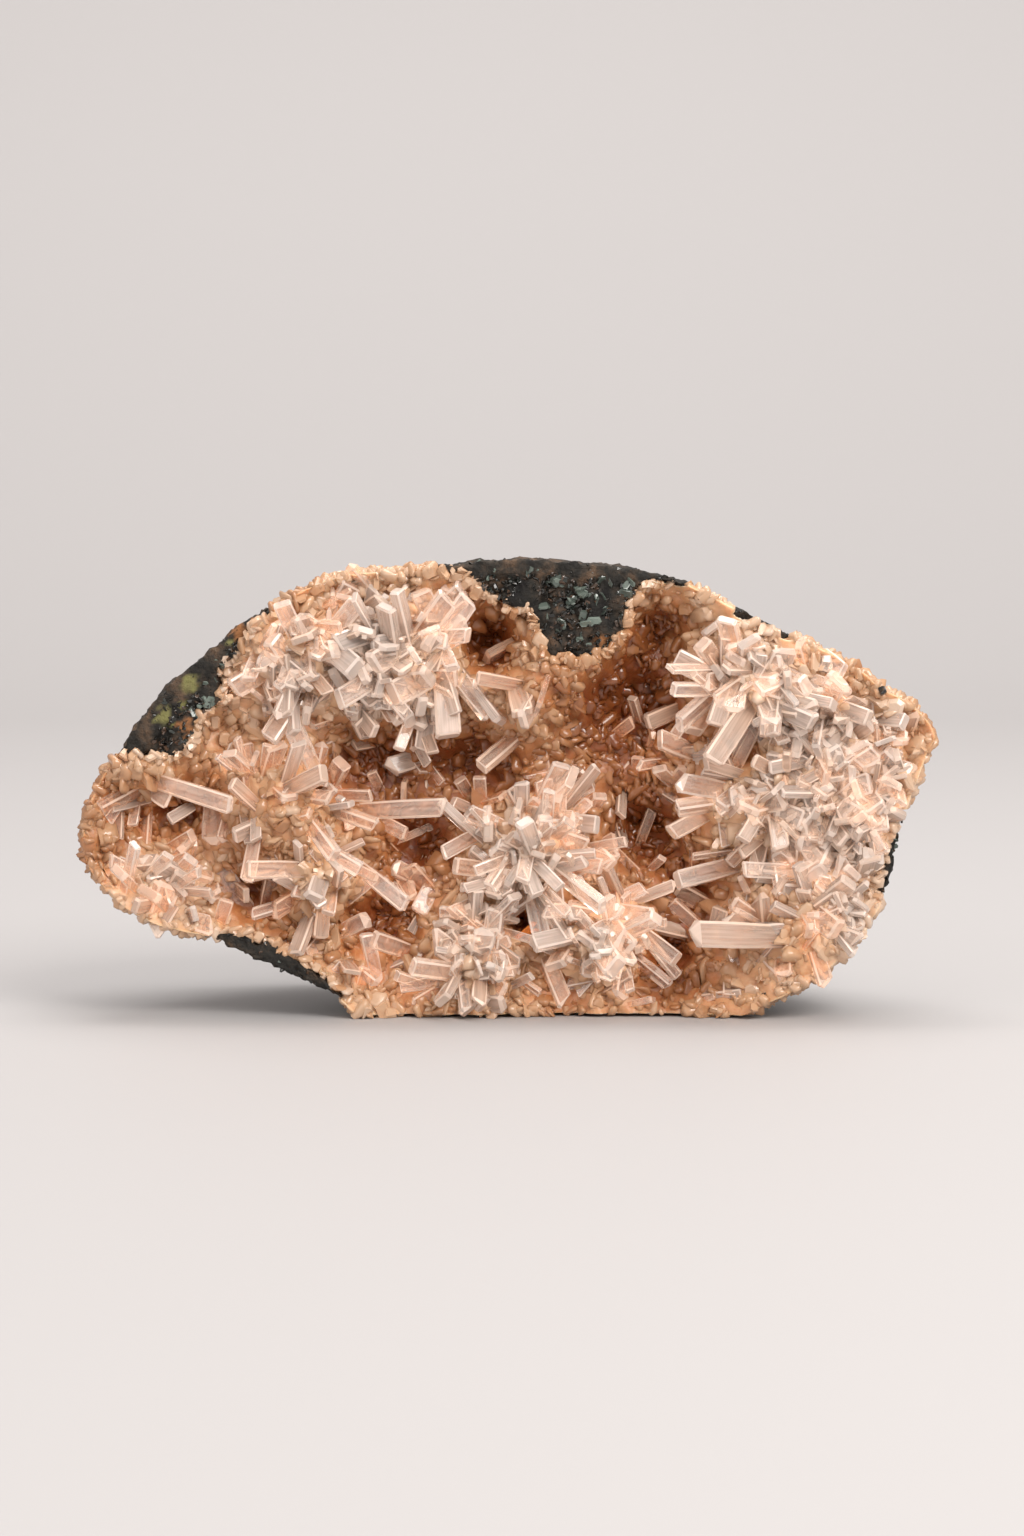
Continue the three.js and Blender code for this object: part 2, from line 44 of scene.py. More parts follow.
# The solids' driving dimensions
FRONT = -17.0
FOOT_LIFT = 0.5
RIM_THICKNESS = 3.2
HOLLOW_DEPTH = 17.0
LEAST_CRUST = 2.0
RIM_DIP = 0.5
BOWL_DEPTH = 8.0
BARE_DIP = 0.7
CENTRE = (0.0, 32.0)
STANDS_ON = 0.05  # nothing reaches below this height

# How the scene's own surfaces fit together
EDGE_INSET = 0.3  # the crust's edge lies this far inside the outline
SUNK_DEPTH = 5.5  # how far the crust drops behind bare basalt
ROCK_SHARE = 0.972  # where the basalt keeps to behind the crust, as a share of the radius
VOXEL = 0.62  # cell of the basalt's remesh

# How many small crystals and grains are made, or tried where some are left out
SPRAY_SHARE = 0.8  # of the number stated for each spray
BLADES_TRIED, BLADES = 3600, 580
EXTRA_CLEAR = 0.15  # added to the share of clear crystals stated for each spray
RIM_TRIED = 1500
BASALT_GRAINS = 900

rng = np.random.default_rng(61)

OUTLINE = [
    (-61, 25.5), (-60.7, 29.5), (-59, 33.2), (-57, 37), (-53.8, 41.6), (-48.5, 48.2),
    (-44.5, 51.5), (-40, 55.3), (-35, 58.8), (-27, 62.9), (-22, 64.2), (-15, 64.6),
    (-4, 65.8), (4, 66.2), (12, 65.5), (20, 64.3), (25, 62.9), (34, 58.4), (45, 53.3),
    (50.5, 50.3), (53.5, 47.6), (57, 46), (60.2, 43), (61.2, 40.7), (60, 38.8), (57.2, 31),
    (55.8, 25), (54.4, 18.5), (50.3, 11), (43.5, 5.5), (35, 1), (28, -2.5), (4, -3),
    (-20, -1.5), (-25, 3.6), (-33, 7), (-38, 9.3), (-42, 11.8), (-50, 13.5), (-55, 16.2),
    (-58.5, 19.5), (-60.5, 22.3),
]

BARE_PATCHES = {
    "wedge": [
        (-10, 64.4), (-5.8, 64.4), (-4.3, 63), (-3.5, 61.5), (-1.2, 60.5), (0.8, 59.2),
        (3, 59.4), (4, 57.5), (4.3, 55), (5, 52.5), (6.3, 51.6), (8.5, 52.3), (10.8, 51.3),
        (12.5, 52.6), (16, 55), (16.8, 57.5), (18.5, 62.2), (20.5, 63.4), (25, 62.6),
        (25, 70), (-10, 70),
    ],
    "upper_left": [
        (-55.3, 38.3), (-52, 38.2), (-48, 37.8), (-46, 39.2), (-44.4, 43.2), (-41, 46),
        (-41.5, 50.2), (-38.4, 53), (-36, 56.8), (-34, 59), (-40, 64), (-60, 48),
    ],
    "belly": [
        (-42, 12.2), (-40, 12.3), (-34.3, 11.1), (-31, 9), (-27.5, 6.5), (-24, 3.4),
        (-30, -2), (-46, 8),
    ],
    "right_edge": [
        (56.3, 30.2), (55, 26.5), (54.5, 23.6), (53.3, 22.8), (53.4, 18.8), (58, 15.8), (62, 28),
    ],
    "right_top": [(32.6, 58.4), (36, 56.5), (40, 55), (42, 58), (34, 62)],
}

# Domes and pits of the crust: x, z, radius, height towards the viewer
RELIEF = [
    (-14, 51, 9, 8), (-30, 52, 8, 6), (-32, 30, 8, 9), (3, 24, 8, 9), (36, 49, 8, 8),
    (34, 31, 7, 7), (47, 36, 10, 7), (14, 12, 7, 8), (-5, 9, 7, 7), (42, 14, 8, 7),
    (-27, 20, 6, 6), (3, 45, 7, 6), (10, 53, 8, 8), (-50, 36, 5, 5), (-50, 19, 6, 3),
    (-3, 54, 3.5, -7), (18, 46, 7, -6), (22, 56, 4, -4), (-48, 29, 6, -5), (-20, 37, 6, -4),
    (-5, 36, 5, -4), (-13, 25, 4, -4), (20, 26, 5, -6), (33.5, 39, 2.5, -5), (22, 9, 4, -4),
    (2.5, 13.5, 2.2, -5), (-36, 17, 4, -3), (-19, 14, 5, -4), (27, 17, 3, -4),
    (-23, 61, 2, -3),
]

# Large crystals: foot x and z, tip x and z, width, rise of the tip, pointed or blunt
CRYSTALS = {
    "upper_left": [
        (-29.5, 54, -32, 60, 2.6, 3, 0), (-29.5, 50.5, -32.4, 43.6, 2.6, 3, 1),
        (-26, 54, -21.5, 50.6, 3.4, 4, 0), (-18, 49.8, -24, 46.3, 3, 4, 0),
        (-20.5, 45.6, -16.6, 45.5, 2, 3, 0), (-22.5, 45.2, -19, 41.2, 2.2, 3, 0),
        (-21, 44, -20.4, 40.2, 1.4, 1, 0), (-35.5, 53, -37, 49, 2.2, 2, 0),
        (-33, 47, -27.5, 45.2, 2.4, 1, 0), (-25, 58.5, -28.5, 57.4, 2.4, 2, 0),
    ],
    "upper_middle": [
        (-10, 50, -16.4, 47, 3.8, 4, 0), (-10.5, 55, -5.6, 55.4, 2.2, 3, 0),
        (-9, 56.5, -8.4, 62, 2.2, 2, 0), (-8, 57, -18, 58.9, 2.8, 3, 0),
        (-21.5, 55.3, -19.5, 59.3, 2.6, 3, 1), (-15, 54, -19.2, 51.4, 3.6, 4, 0),
        (-9.5, 54, -7.8, 50.7, 2, 4, 0), (-7.5, 48.8, -4.6, 48.2, 1.4, 2, 0),
        (-9.2, 50, -8.5, 40.8, 3.6, 2, 0), (-13.4, 44.5, -15.6, 38.9, 1.7, 3, 0),
        (-12.8, 43.6, -10.7, 38.3, 1.8, 3, 0), (-13, 41.5, -13.2, 38.4, 2, 1, 1),
    ],
    "middle": [
        (-18.4, 39.2, -22.4, 38.8, 1.8, 2, 0), (-11.5, 37.2, -17.4, 35.6, 2.8, 1, 1),
        (-25.4, 36.4, -26.5, 39.4, 2.4, 1, 0), (-25.6, 33.2, -23.8, 36.8, 2.6, 3, 0),
        (2, 41, -3.9, 36.4, 2.4, 4, 0), (3, 47.8, -4.4, 49.4, 2, 3, 0),
        (-5.4, 31, -7, 34, 1.9, 1, 0), (-3.8, 30.5, -4.1, 34.5, 1.9, 1, 0),
    ],
    "left_ball": [
        (-27.2, 33.6, -30.8, 42.4, 2.6, 3, 0), (-26, 32, -19.6, 32.1, 1.8, 2, 0),
        (-23, 29.4, -9, 30.4, 2.7, 3, 0), (-16.2, 22.6, -21.7, 28.5, 2, 4, 0),
        (-20, 28.6, -14.7, 26, 2.1, 1, 0), (-17.8, 30.8, -19.8, 35, 1.6, 1, 0),
        (-36, 34.6, -39.8, 38.5, 2.2, 3, 0), (-35, 35, -34.2, 39.6, 1.8, 2, 0),
        (-34.6, 37, -28.8, 31.1, 1, 1, 0), (-38.6, 32.6, -37, 25.3, 1.5, 3, 0),
        (-42.6, 30.6, -42.5, 24.6, 3.2, 2, 1), (-51.5, 34.6, -39.3, 31.2, 2.6, 4, 0),
    ],
    "left_hollow": [
        (-52.5, 33.4, -58.4, 30.3, 2.4, 2, 0), (-45, 30.4, -49, 28.2, 1.8, 2, 0),
        (-56, 30.6, -56, 25.8, 1.6, 1, 0), (-53.4, 31.5, -54, 27.7, 1.5, 1, 0),
        (-55.2, 17.5, -53, 25.7, 1.8, 4, 0), (-52.3, 19.8, -48.4, 24, 1.8, 3, 0),
        (-49.3, 23.8, -45.4, 26.3, 1.9, 3, 0), (-48, 20.2, -45.3, 23.2, 2.3, 3, 0),
        (-49, 18.2, -44, 21.6, 1.5, 4, 0), (-44.6, 25, -41.4, 22.6, 1.7, 1, 0),
        (-37.6, 14.4, -42.2, 21.6, 3.2, 0, 0),
    ],
    "lower_left": [
        (-34.4, 14, -27.3, 15, 2, 3, 0), (-35.4, 15, -34.2, 20, 2, 2, 0),
        (-27.5, 21.6, -37.2, 22, 2.6, 3, 0), (-26.6, 21.5, -27.8, 17.8, 2.8, 3, 0),
        (-25.4, 18.4, -25.8, 15.2, 2, 2, 0), (-22.4, 22.2, -14.6, 16.2, 2.4, 2, 0),
        (-15.2, 18, -12.6, 21.2, 2.1, 3, 1), (-8.6, 22.8, -13, 14.8, 2.6, 3, 0),
        (-24.8, 11.4, -20, 14.3, 2.4, 3, 1), (-26.6, 11.6, -29, 8.8, 2, 2, 0),
        (-15, 12.2, -16.7, 19, 2, 0, 0), (-19, 5, -20.4, 12, 2, 1, 0),
        (-13.8, 8.8, -19.5, 11.3, 2.6, 3, 0), (-11.6, 4.2, -16, 6.3, 1.5, 3, 0),
    ],
    "lower_middle": [
        (-5.6, 6.4, -13.7, 8.2, 2.7, 4, 0), (-4.6, 7, -3.2, 13.6, 3, 3, 1),
        (-3.6, 8.6, -0.3, 9.3, 2.2, 2, 1), (-9, 12, -9, 16, 1.7, 1, 0),
        (-2.6, 17, -8, 15.2, 2.2, 3, 0), (-2.6, 21.2, -7.6, 22.4, 2.5, 4, 0),
        (-3.6, 19, -6.7, 18.8, 1.4, 2, 0), (-0.2, 4.6, -0.1, 8, 1.3, 2, 0),
        (-0.4, 3.8, 3.4, 6.3, 1.3, 3, 0), (8.4, 8.8, 3.7, 11.4, 1.9, 3, 0),
        (5, 9.4, 8.2, 2.4, 2.4, 4, 0),
    ],
    "centre_ball": [
        (-4.6, 29.2, -8, 31, 1.7, 2, 0), (0, 27.4, -5.6, 30.2, 2.1, 3, 0),
        (-3, 27, -9.3, 24, 2.2, 4, 0), (2, 29, 2, 34.2, 2.2, 2, 0),
        (4.6, 30, 7.8, 36.8, 2.8, 3, 0), (5.6, 33.5, 4.4, 39.6, 2.1, 0, 0),
        (7, 31.2, 12.3, 34, 2.6, 1, 0), (11.2, 28.6, 13.4, 32, 2, 2, 0),
        (8.6, 28, 12.9, 27.9, 2.6, 2, 0), (10.4, 24, 17, 25.6, 1.6, 3, 0),
        (9.4, 24.2, 15, 22.2, 2.2, 3, 0), (5.8, 23.2, 0.2, 26.8, 2.2, 4, 0),
        (5.4, 22.6, 13.6, 16.7, 2.9, 4, 0), (14.6, 24, 22.2, 16.1, 2.2, 1, 0),
        (6, 26, 8.8, 29, 2.2, 5, 0),
    ],
    "right_hollow": [
        (16.6, 42.6, 17.1, 37.6, 1.3, 2, 0), (19.5, 41, 18, 45.8, 1.6, 3, 0),
        (25.4, 44.4, 20, 42.2, 2.4, 1, 0), (28, 37.2, 21.8, 40.1, 2.8, 2, 0),
        (22.6, 36.4, 18.9, 36.2, 1.6, 3, 0), (24.8, 32.8, 21.7, 35.8, 2, 2, 0),
        (19.6, 30, 16.6, 35.9, 2.4, 2, 0), (16.7, 33.2, 16.3, 28.7, 1.6, 2, 0),
        (18.8, 23, 21, 29.3, 1.5, 1, 0), (20.4, 20.4, 22.4, 22.7, 1.3, 2, 0),
    ],
    "upper_right": [
        (31, 50.5, 23, 50.6, 1.7, 3, 0), (31, 47.3, 23.4, 47.7, 2, 4, 0),
        (32.6, 52, 31, 57.7, 2.9, 3, 0), (30, 50.8, 27.6, 54.2, 2.6, 3, 0),
        (29, 44.4, 26.6, 41.3, 2.4, 3, 0), (35, 46, 28.9, 37.7, 3.2, 5, 0),
        (36, 47, 37.6, 43, 2.6, 4, 1), (38, 47.6, 42.4, 48.4, 3, 3, 0),
        (46, 45.4, 51.4, 43.6, 2.5, 3, 0), (44.6, 42.8, 52, 36.7, 2.7, 4, 0),
        (45, 52.5, 47.6, 50.2, 2.4, 2, 0), (38, 38, 38.8, 41.4, 2.2, 3, 0),
        (38.4, 41, 41, 38.6, 2, 3, 0), (45, 38.6, 45.8, 36.6, 2.3, 3, 0),
    ],
    "right_ball": [
        (32, 32.6, 24.2, 34.5, 2.9, 4, 1), (29, 29.4, 23.4, 26.9, 2.4, 3, 0),
        (24.8, 27.2, 26.5, 24.3, 1.3, 2, 0), (38.2, 26.2, 34.4, 31, 2.6, 3, 0),
        (48.4, 23.8, 41.2, 25.9, 2.6, 3, 1), (34, 21.9, 24.3, 20, 2.7, 4, 0),
        (43, 21, 33.7, 21.9, 2.3, 3, 0), (50.4, 20.6, 52.4, 24.2, 3.4, 3, 0),
        (42, 33, 44, 30, 2.4, 3, 0), (50, 31, 53, 28, 2.8, 2, 0), (52, 36, 55, 38.6, 2.8, 2, 0),
    ],
    "lower_right": [
        (39.6, 12, 26, 13.1, 3.8, 4, 1), (32.2, 9.6, 31.9, 3.1, 2, 3, 0),
        (18.8, 12.4, 24.2, 8.7, 2.4, 4, 0), (16.8, 8.4, 17.6, 4.1, 1.4, 3, 0),
        (13, 15.6, 5.2, 15.7, 1.9, 2, 0), (15, 15.6, 21.1, 15.2, 2.4, 4, 1),
        (13, 11, 15.4, 8, 3.6, 4, 0), (43, 16.5, 47, 13.4, 3.4, 3, 0),
        (47, 17.4, 49.6, 12.6, 3.2, 3, 0), (28, 6.4, 29.4, 2, 2, 2, 0),
        (22, 4, 16.4, 4.2, 2, 1, 0), (37, 9, 39.6, 6.8, 2.6, 2, 0),
    ],
}

# Sprays of smaller crystals: x, z, radius of the core, number, length, width, share of clear
SPRAYS = [
    (-14, 53, 8, 52, 7, 3.1, 0.35), (-30, 52, 7, 32, 6, 2.6, 0.35), (-21, 47, 4, 16, 6, 2.3, 0.3),
    (-31, 31, 6, 28, 5.5, 2.2, 0.35), (-39, 34, 4, 12, 5, 2, 0.4), (-50, 21, 4, 14, 5.5, 1.8, 0.8),
    (-52, 32, 4, 12, 5, 1.9, 0.6), (3, 24.5, 6.5, 50, 6, 2.4, 0.4), (-20, 27, 4, 12, 5.5, 2.1, 0.4),
    (-27, 19, 5, 22, 5, 2.1, 0.4), (-12, 18, 4, 12, 5, 2.1, 0.4), (-5, 9, 6, 32, 5.5, 2.3, 0.4),
    (14, 11.5, 6, 32, 5.5, 2.3, 0.35), (36, 49, 6.5, 36, 6, 2.7, 0.3), (30, 42, 5, 18, 6, 2.5, 0.35),
    (44, 40, 7, 40, 5.5, 2.8, 0.4), (36, 32, 6, 32, 5.5, 2.5, 0.4), (48, 30, 7, 42, 5.5, 2.7, 0.4),
    (41, 24, 6, 26, 5.5, 2.5, 0.35), (46, 15, 5, 18, 4.5, 2.5, 0.25), (32, 10, 5, 18, 5, 2.3, 0.4),
    (-17, 7, 4, 14, 4.8, 2, 0.4), (24, 5, 5, 14, 4.4, 1.9, 0.4), (-12, 43, 4, 14, 5, 2.1, 0.3),
    (20, 33, 4, 14, 5, 1.9, 0.4), (-15, 36, 4, 10, 4.6, 2, 0.4), (52, 42, 4, 12, 4.4, 2.3, 0.3),
    (-3, 33, 3, 8, 4.6, 1.9, 0.4), (-57, 27, 3, 8, 3.8, 1.7, 0.4), (24, 47, 4, 8, 4.6, 1.9, 0.4),
    (8, 36, 3, 6, 4.6, 1.9, 0.4),
]

# Where the crust is paler in colour than elsewhere, and where it is darkened with painted shade in
# its pits and along its rims: x, z, radius, amount
TINTS_AND_PAINTED_SHADE = [
    (3, 24.5, 7, 0.22), (-14, 54, 9, 0.18), (-30, 52, 7, 0.12), (-31, 31, 6, -0.05),
    (-30, 62, 5, -0.2), (-10, 63, 7, -0.18), (50, 50, 7, -0.15), (-58, 24, 6, -0.3),
    (-57, 34, 5, -0.22), (-48, 13, 6, -0.12), (-10, 1, 9, -0.18), (9, 0, 9, -0.18),
    (30, 2, 8, -0.18), (6, 47, 6, -0.2),
    (46, 33, 12, 0.18), (36, 50, 6, 0.2), (15, 11, 6, 0.25), (-5, 9, 6, 0.22),
    (-48, 22, 8, 0.25), (48, 15, 5, 0.3), (-20, 46, 5, 0.25), (24, 52, 3, 0.1),
    # The darker spots from here on are painted shade, mostly over the crust's pits
    (16, 46, 9, -0.4), (-3, 54, 5, -0.45), (-20, 36, 6, -0.3), (-8, 38, 6, -0.25),
    (-48, 30, 6, -0.35), (-34, 27, 6, -0.2), (-12, 25, 5, -0.35), (0, 35, 4, -0.35),
    (20, 27, 6, -0.3), (23, 10, 5, -0.35), (2, 14, 3, -0.5), (9, 18, 4, -0.3), (22, 57, 5, -0.3),
    (-18, 13, 5, -0.3), (-30, 12, 5, -0.2), (33, 39, 4, -0.3), (42, 14, 5, -0.2),
    (26, 18, 4, -0.35), (22, 5, 4, -0.2), (-37, 17, 5, -0.25), (59, 41, 3, -0.3),
]

# Yellow-green and rust-red stains on the basalt's front: x, z, radius
LICHEN = [(-49, 43.5, 1.3), (-45.5, 48.5, 1.2), (-46.5, 45.4, 0.7), (-39.5, 54.2, 0.7)]
RUST = [(-38.5, 55.5, 1.2), (13.6, 54.3, 1.2), (-46, 42, 1.2), (-36, 57.5, 0.8)]

# Glassy grey-green spots in the basalt: x, z, size
GLASSY = [
    (6.5, 63, 1.8), (9, 60.4, 1.9), (11, 62, 2), (12.5, 61, 1.6), (5, 58.5, 1.5), (11.5, 57, 1.7),
    (17, 62.5, 1.5), (13.6, 59.2, 1.4), (8, 57, 1.2), (14.5, 62.8, 1.3), (10.5, 54.4, 1.1),
    (2.5, 63.6, 1.3), (-3, 64, 1.2), (-43.5, 46, 1.8), (-44.6, 44.8, 1.2), (-42.3, 48.6, 1.3),
    (-41, 52.4, 1.1), (-33, 9.4, 1.2), (55.2, 25, 1),
]


# Shapes shared with the solids
def waves(x, y, z, scale):
    u, v, w = x / scale, y / scale, z / scale
    return (np.sin(1.9 * u + 1.3 * w + 0.4) + np.sin(2.3 * v - 1.7 * u + 1.9)
            + np.sin(2.9 * w + 1.1 * v + 2.6) + np.sin(3.7 * u + 2.2 * w - 3.1 * v)) / 4


def outline_table():
    """Angle and radius of points along the outline, seen from its centre."""
    corners = np.array(OUTLINE, float)
    after = np.roll(corners, -1, axis=0)
    steps = np.arange(10)[None, :, None] / 10
    points = (corners[:, None] * (1 - steps) + after[:, None] * steps).reshape(-1, 2)
    smooth = sum(np.roll(points, k, axis=0) for k in range(-3, 4)) / 7
    out = smooth - CENTRE
    angle = np.arctan2(out[:, 1], out[:, 0])
    radius = np.hypot(out[:, 0], out[:, 1]) + 0.12
    order = np.argsort(angle)
    angle, radius = angle[order], radius[order]
    angle = np.concatenate([angle[-3:] - 2 * math.pi, angle, angle[:3] + 2 * math.pi])
    return angle, np.concatenate([radius[-3:], radius, radius[:3]])


ANGLES, RADII = outline_table()


def radius_at(angle):
    return np.interp(angle, ANGLES, RADII)


def reach(x, z):
    dx, dz = x - CENTRE[0], z - CENTRE[1]
    return np.hypot(dx, dz) / radius_at(np.arctan2(dz, dx))


def hollow_floor(x, z):
    out = np.minimum(reach(x, z), 1)
    return FRONT + RIM_THICKNESS + (HOLLOW_DEPTH - RIM_THICKNESS) * (1 - out ** 4)


def spot(x, z, middle_x, middle_z, radius):
    """1 at the middle of a round spot, fading to 0 around it."""
    return np.exp(-((x - middle_x) ** 2 + (z - middle_z) ** 2) / radius ** 2)


def crust_front(x, z):
    x, z = np.asarray(x, float), np.asarray(z, float)
    out = np.minimum(reach(x, z), 1)
    dip = RIM_DIP + BOWL_DEPTH * (1 - out ** 5)
    for rx, rz, radius, height in RELIEF:
        dip = dip - height * spot(x, z, rx, rz, radius)
    dip = dip + 0.7 * waves(x, 0, z, 2.2)
    deepest = hollow_floor(x, z) - FRONT - LEAST_CRUST
    return FRONT + np.clip(dip, -1, deepest)


def inside(polygon, x, z):
    """Whether points lie inside a polygon of x and z."""
    x, z = np.asarray(x, float), np.asarray(z, float)
    hit = np.zeros(x.shape, bool)
    for (ax, az), (bx, bz) in zip(polygon, polygon[1:] + polygon[:1]):
        if az != bz:
            across = (z < az) != (z < bz)
            hit ^= across & (x < ax + (z - az) * (bx - ax) / (bz - az))
    return hit


def distance_to(polygon, x, z):
    """Distance to a polygon's nearest side."""
    best = np.full(np.shape(x), 1e9)
    for (ax, az), (bx, bz) in zip(polygon, polygon[1:] + polygon[:1]):
        ex, ez = bx - ax, bz - az
        t = np.clip(((x - ax) * ex + (z - az) * ez) / (ex * ex + ez * ez), 0, 1)
        best = np.minimum(best, np.hypot(x - ax - t * ex, z - az - t * ez))
    return best


def bareness(x, z):
    """Distance into the bare basalt: positive inside a patch, negative outside."""
    best = np.full(np.shape(x), -1e9)
    for patch in BARE_PATCHES.values():
        away = distance_to(patch, x, z)
        best = np.maximum(best, np.where(inside(patch, x, z), away, -away))
    return best


def lumps(points, size):
    """Rounded unevenness from cells of about this size: 0 in the seams, near 1 on top."""
    found = [noise.voronoi(Vector(p) / size)[0][0] for p in points]
    return 1 - np.clip(np.array(found), 0, 1) ** 2


def clouds(points, size, octaves=3):
    """Soft noise between about -1 and 1."""
    return np.array([noise.fractal(Vector(p) / size, 1.0, 2.0, octaves) for p in points])


def sunk_share(bare):
    """How far the crust has dropped behind the basalt: 0 in the open, 1 behind a bare patch."""
    return np.clip((bare + 0.35) / 0.7, 0, 1)


# Mesh helpers
def ring_faces(corners, steps):
    """Four-sided faces between rings of corners that are numbered ring by ring."""
    here = np.arange(corners)
    after = (here + 1) % corners
    return np.concatenate([
        np.stack([r * corners + here, r * corners + after, (r + 1) * corners + after,
                  (r + 1) * corners + here], axis=1) for r in range(steps)])


def mesh_object(name, verts, faces, attributes=None, uvs=None, smooth=False):
    """An object from points in millimetres of the drawing, and equal-sided faces."""
    mesh = bpy.data.meshes.new(name)
    verts = np.asarray(verts, float) + SHIFT
    verts[:, 2] = np.maximum(verts[:, 2], STANDS_ON)
    verts *= MM
    mesh.vertices.add(len(verts))
    mesh.vertices.foreach_set("co", verts.ravel())
    groups = faces if isinstance(faces, list) else [faces]
    loops = np.concatenate([g.ravel() for g in groups])
    totals = np.concatenate([np.full(len(g), g.shape[1]) for g in groups])
    mesh.loops.add(len(loops))
    mesh.loops.foreach_set("vertex_index", loops.astype(np.int32))
    mesh.polygons.add(len(totals))
    starts = np.concatenate([[0], np.cumsum(totals)[:-1]])
    mesh.polygons.foreach_set("loop_start", starts.astype(np.int32))
    for key, values in (attributes or {}).items():
        layer = mesh.attributes.new(key, "FLOAT", "POINT")
        layer.data.foreach_set("value", np.asarray(values, np.float32))
    if uvs is not None:
        layer = mesh.uv_layers.new(name="UVMap")
        layer.data.foreach_set("uv", np.asarray(uvs, np.float32).ravel())
    mesh.update()
    mesh.validate()
    mesh.polygons.foreach_set("use_smooth", np.full(len(mesh.polygons), smooth))
    obj = bpy.data.objects.new(name, mesh)
    bpy.context.scene.collection.objects.link(obj)
    return obj


def frames_along(axis, roll):
    """Two unit directions across each axis, turned about it by roll."""
    helper = np.where(np.abs(axis[:, 1:2]) < 0.93, [[0.0, 1.0, 0.0]], [[0.0, 0.0, 1.0]])
    across = np.cross(helper, axis)
    across /= np.linalg.norm(across, axis=1, keepdims=True)
    up = np.cross(axis, across)
    c, s = np.cos(roll)[:, None], np.sin(roll)[:, None]
    return across * c + up * s, up * c - across * s


def prisms(name, foot, tip, width, flat, bevel, slant, roll, tint):
    """Eight-sided prisms with narrow corner faces and bevelled, slanting ends, as one mesh."""
    axis = tip - foot
    length = np.linalg.norm(axis, axis=1)
    axis = axis / length[:, None]
    side, depth = frames_along(axis, roll)
    corner = np.array([(1, -0.72), (1, 0.72), (0.8, 1), (-0.8, 1), (-1, 0.72), (-1, -0.72),
                       (-0.8, -1), (0.8, -1)])
    half = width / 2
    rows = [(0.0, 0.86, 0.0), (0.55, 1.0, 0.0), (1.0, 1.0, -1.0), (1.0, 0.0, 0.0)]
    verts = []
    for t, scale, back in rows:
        if scale == 0.0:
            scale = 1 - bevel * 1.2
            lift = length
        else:
            scale = np.full(len(foot), scale)
            lift = length * t + back * bevel * half
        for cx, cy in corner:
            tilt = slant * half * cx * (t == 1.0)
            verts.append(foot + axis * (lift + tilt)[:, None]
                         + side * (cx * scale * half)[:, None]
                         + depth * (cy * scale * half * flat)[:, None])
    verts = np.stack(verts, axis=1)
    count = len(foot)
    around = np.arange(8)
    sides = ring_faces(8, 3)
    caps = np.array([around[::-1], 24 + around])
    offsets = np.arange(count)[:, None, None] * 32
    side_faces = (sides[None] + offsets).reshape(-1, 4)
    cap_faces = (caps[None] + offsets).reshape(-1, 8)
    place = np.cumsum([0, 1.56, .3, 1.64, .3, 1.56, .3, 1.64, .3])
    uv = []
    for r in range(3):
        for k in range(8):
            uv.append([(place[k], r), (place[k + 1], r), (place[k + 1], r + 1), (place[k], r + 1)])
    uv = np.array(uv, float)
    heights = np.stack([np.zeros(count), length * 0.55, length, length + half], axis=1)
    side_uv = np.empty((count, 24, 4, 2))
    # Each prism takes its veils from its own stretch of the noise
    which = np.arange(count)[:, None, None]
    side_uv[..., 0] = uv[None, ..., 0] * half[:, None, None] + 31.7 * which
    side_uv[..., 1] = heights[which, uv[None, ..., 1].astype(int)]
    cap_uv = np.zeros((count * 2 * 8, 2))
    uvs = np.concatenate([side_uv.reshape(-1, 2), cap_uv])
    # Each crystal is deeper in colour at its foot
    paler = np.repeat([-0.35, -0.05, 0.06, 0.06], 8)
    obj = mesh_object(name, verts.reshape(-1, 3), [side_faces, cap_faces],
                      {"tint": (tint[:, None] + paler).ravel()}, uvs)
    # Narrow corner faces and the bevel round the end are frosted
    one = np.concatenate([np.tile([0.0, 1.0], 8), np.full(8, 0.8)])
    frost = np.concatenate([np.tile(one, count), np.full(2 * count, 0.35)])
    layer = obj.data.attributes.new("frost", "FLOAT", "FACE")
    layer.data.foreach_set("value", frost.astype(np.float32))
    return obj


def grains(name, place, normal, size, tall, tint, lean=0.6, crisp=None):
    """Small blunt crystals with rounded ends standing on a surface, as one mesh."""
    count = len(place)
    axis = normal + rng.normal(0, lean, (count, 3))
    axis /= np.linalg.norm(axis, axis=1, keepdims=True)
    side, depth = frames_along(axis, rng.uniform(0, 6.28, count))
    half = size / 2
    flat = rng.uniform(0.32, 0.8, count)
    shoulder, ridge = rng.uniform(0.75, 0.98, count), rng.uniform(0.45, 0.85, count)
    slant_x, slant_y = rng.uniform(-0.5, 0.5, (2, count))
    rows = [(-0.6, 0.8, 0.0), (0.45 * tall, 1.0, 0.5), (0.8 * tall, shoulder, 1.0),
            (tall, shoulder * ridge, 1.0)]
    ring = [(1, -0.3), (0.75, 0.85), (-0.7, 0.95), (-1, 0.25), (-0.75, -0.9), (0.7, -0.9)]
    verts = []
    for along, scale, tilt in rows:
        for cx, cy in ring:
            rise = along + (slant_x * cx + slant_y * cy) * tilt
            verts.append(place + axis * (half * rise)[:, None]
                         + side * (cx * scale * half)[:, None]
                         + depth * (cy * scale * flat * half)[:, None])
    verts = np.stack(verts, axis=1)
    ends = np.array([[18, 19, 20, 21], [18, 21, 22, 23]])
    quads = np.concatenate([ring_faces(6, 3), ends])
    offsets = np.arange(count)[:, None, None] * 24
    obj = mesh_object(name, verts.reshape(-1, 3), (quads[None] + offsets).reshape(-1, 4),
                      {"tint": np.repeat(tint, 24)})
    rounded = np.ones(count, bool) if crisp is None else ~crisp
    obj.data.polygons.foreach_set("use_smooth", np.repeat(rounded, len(quads)))
    return obj


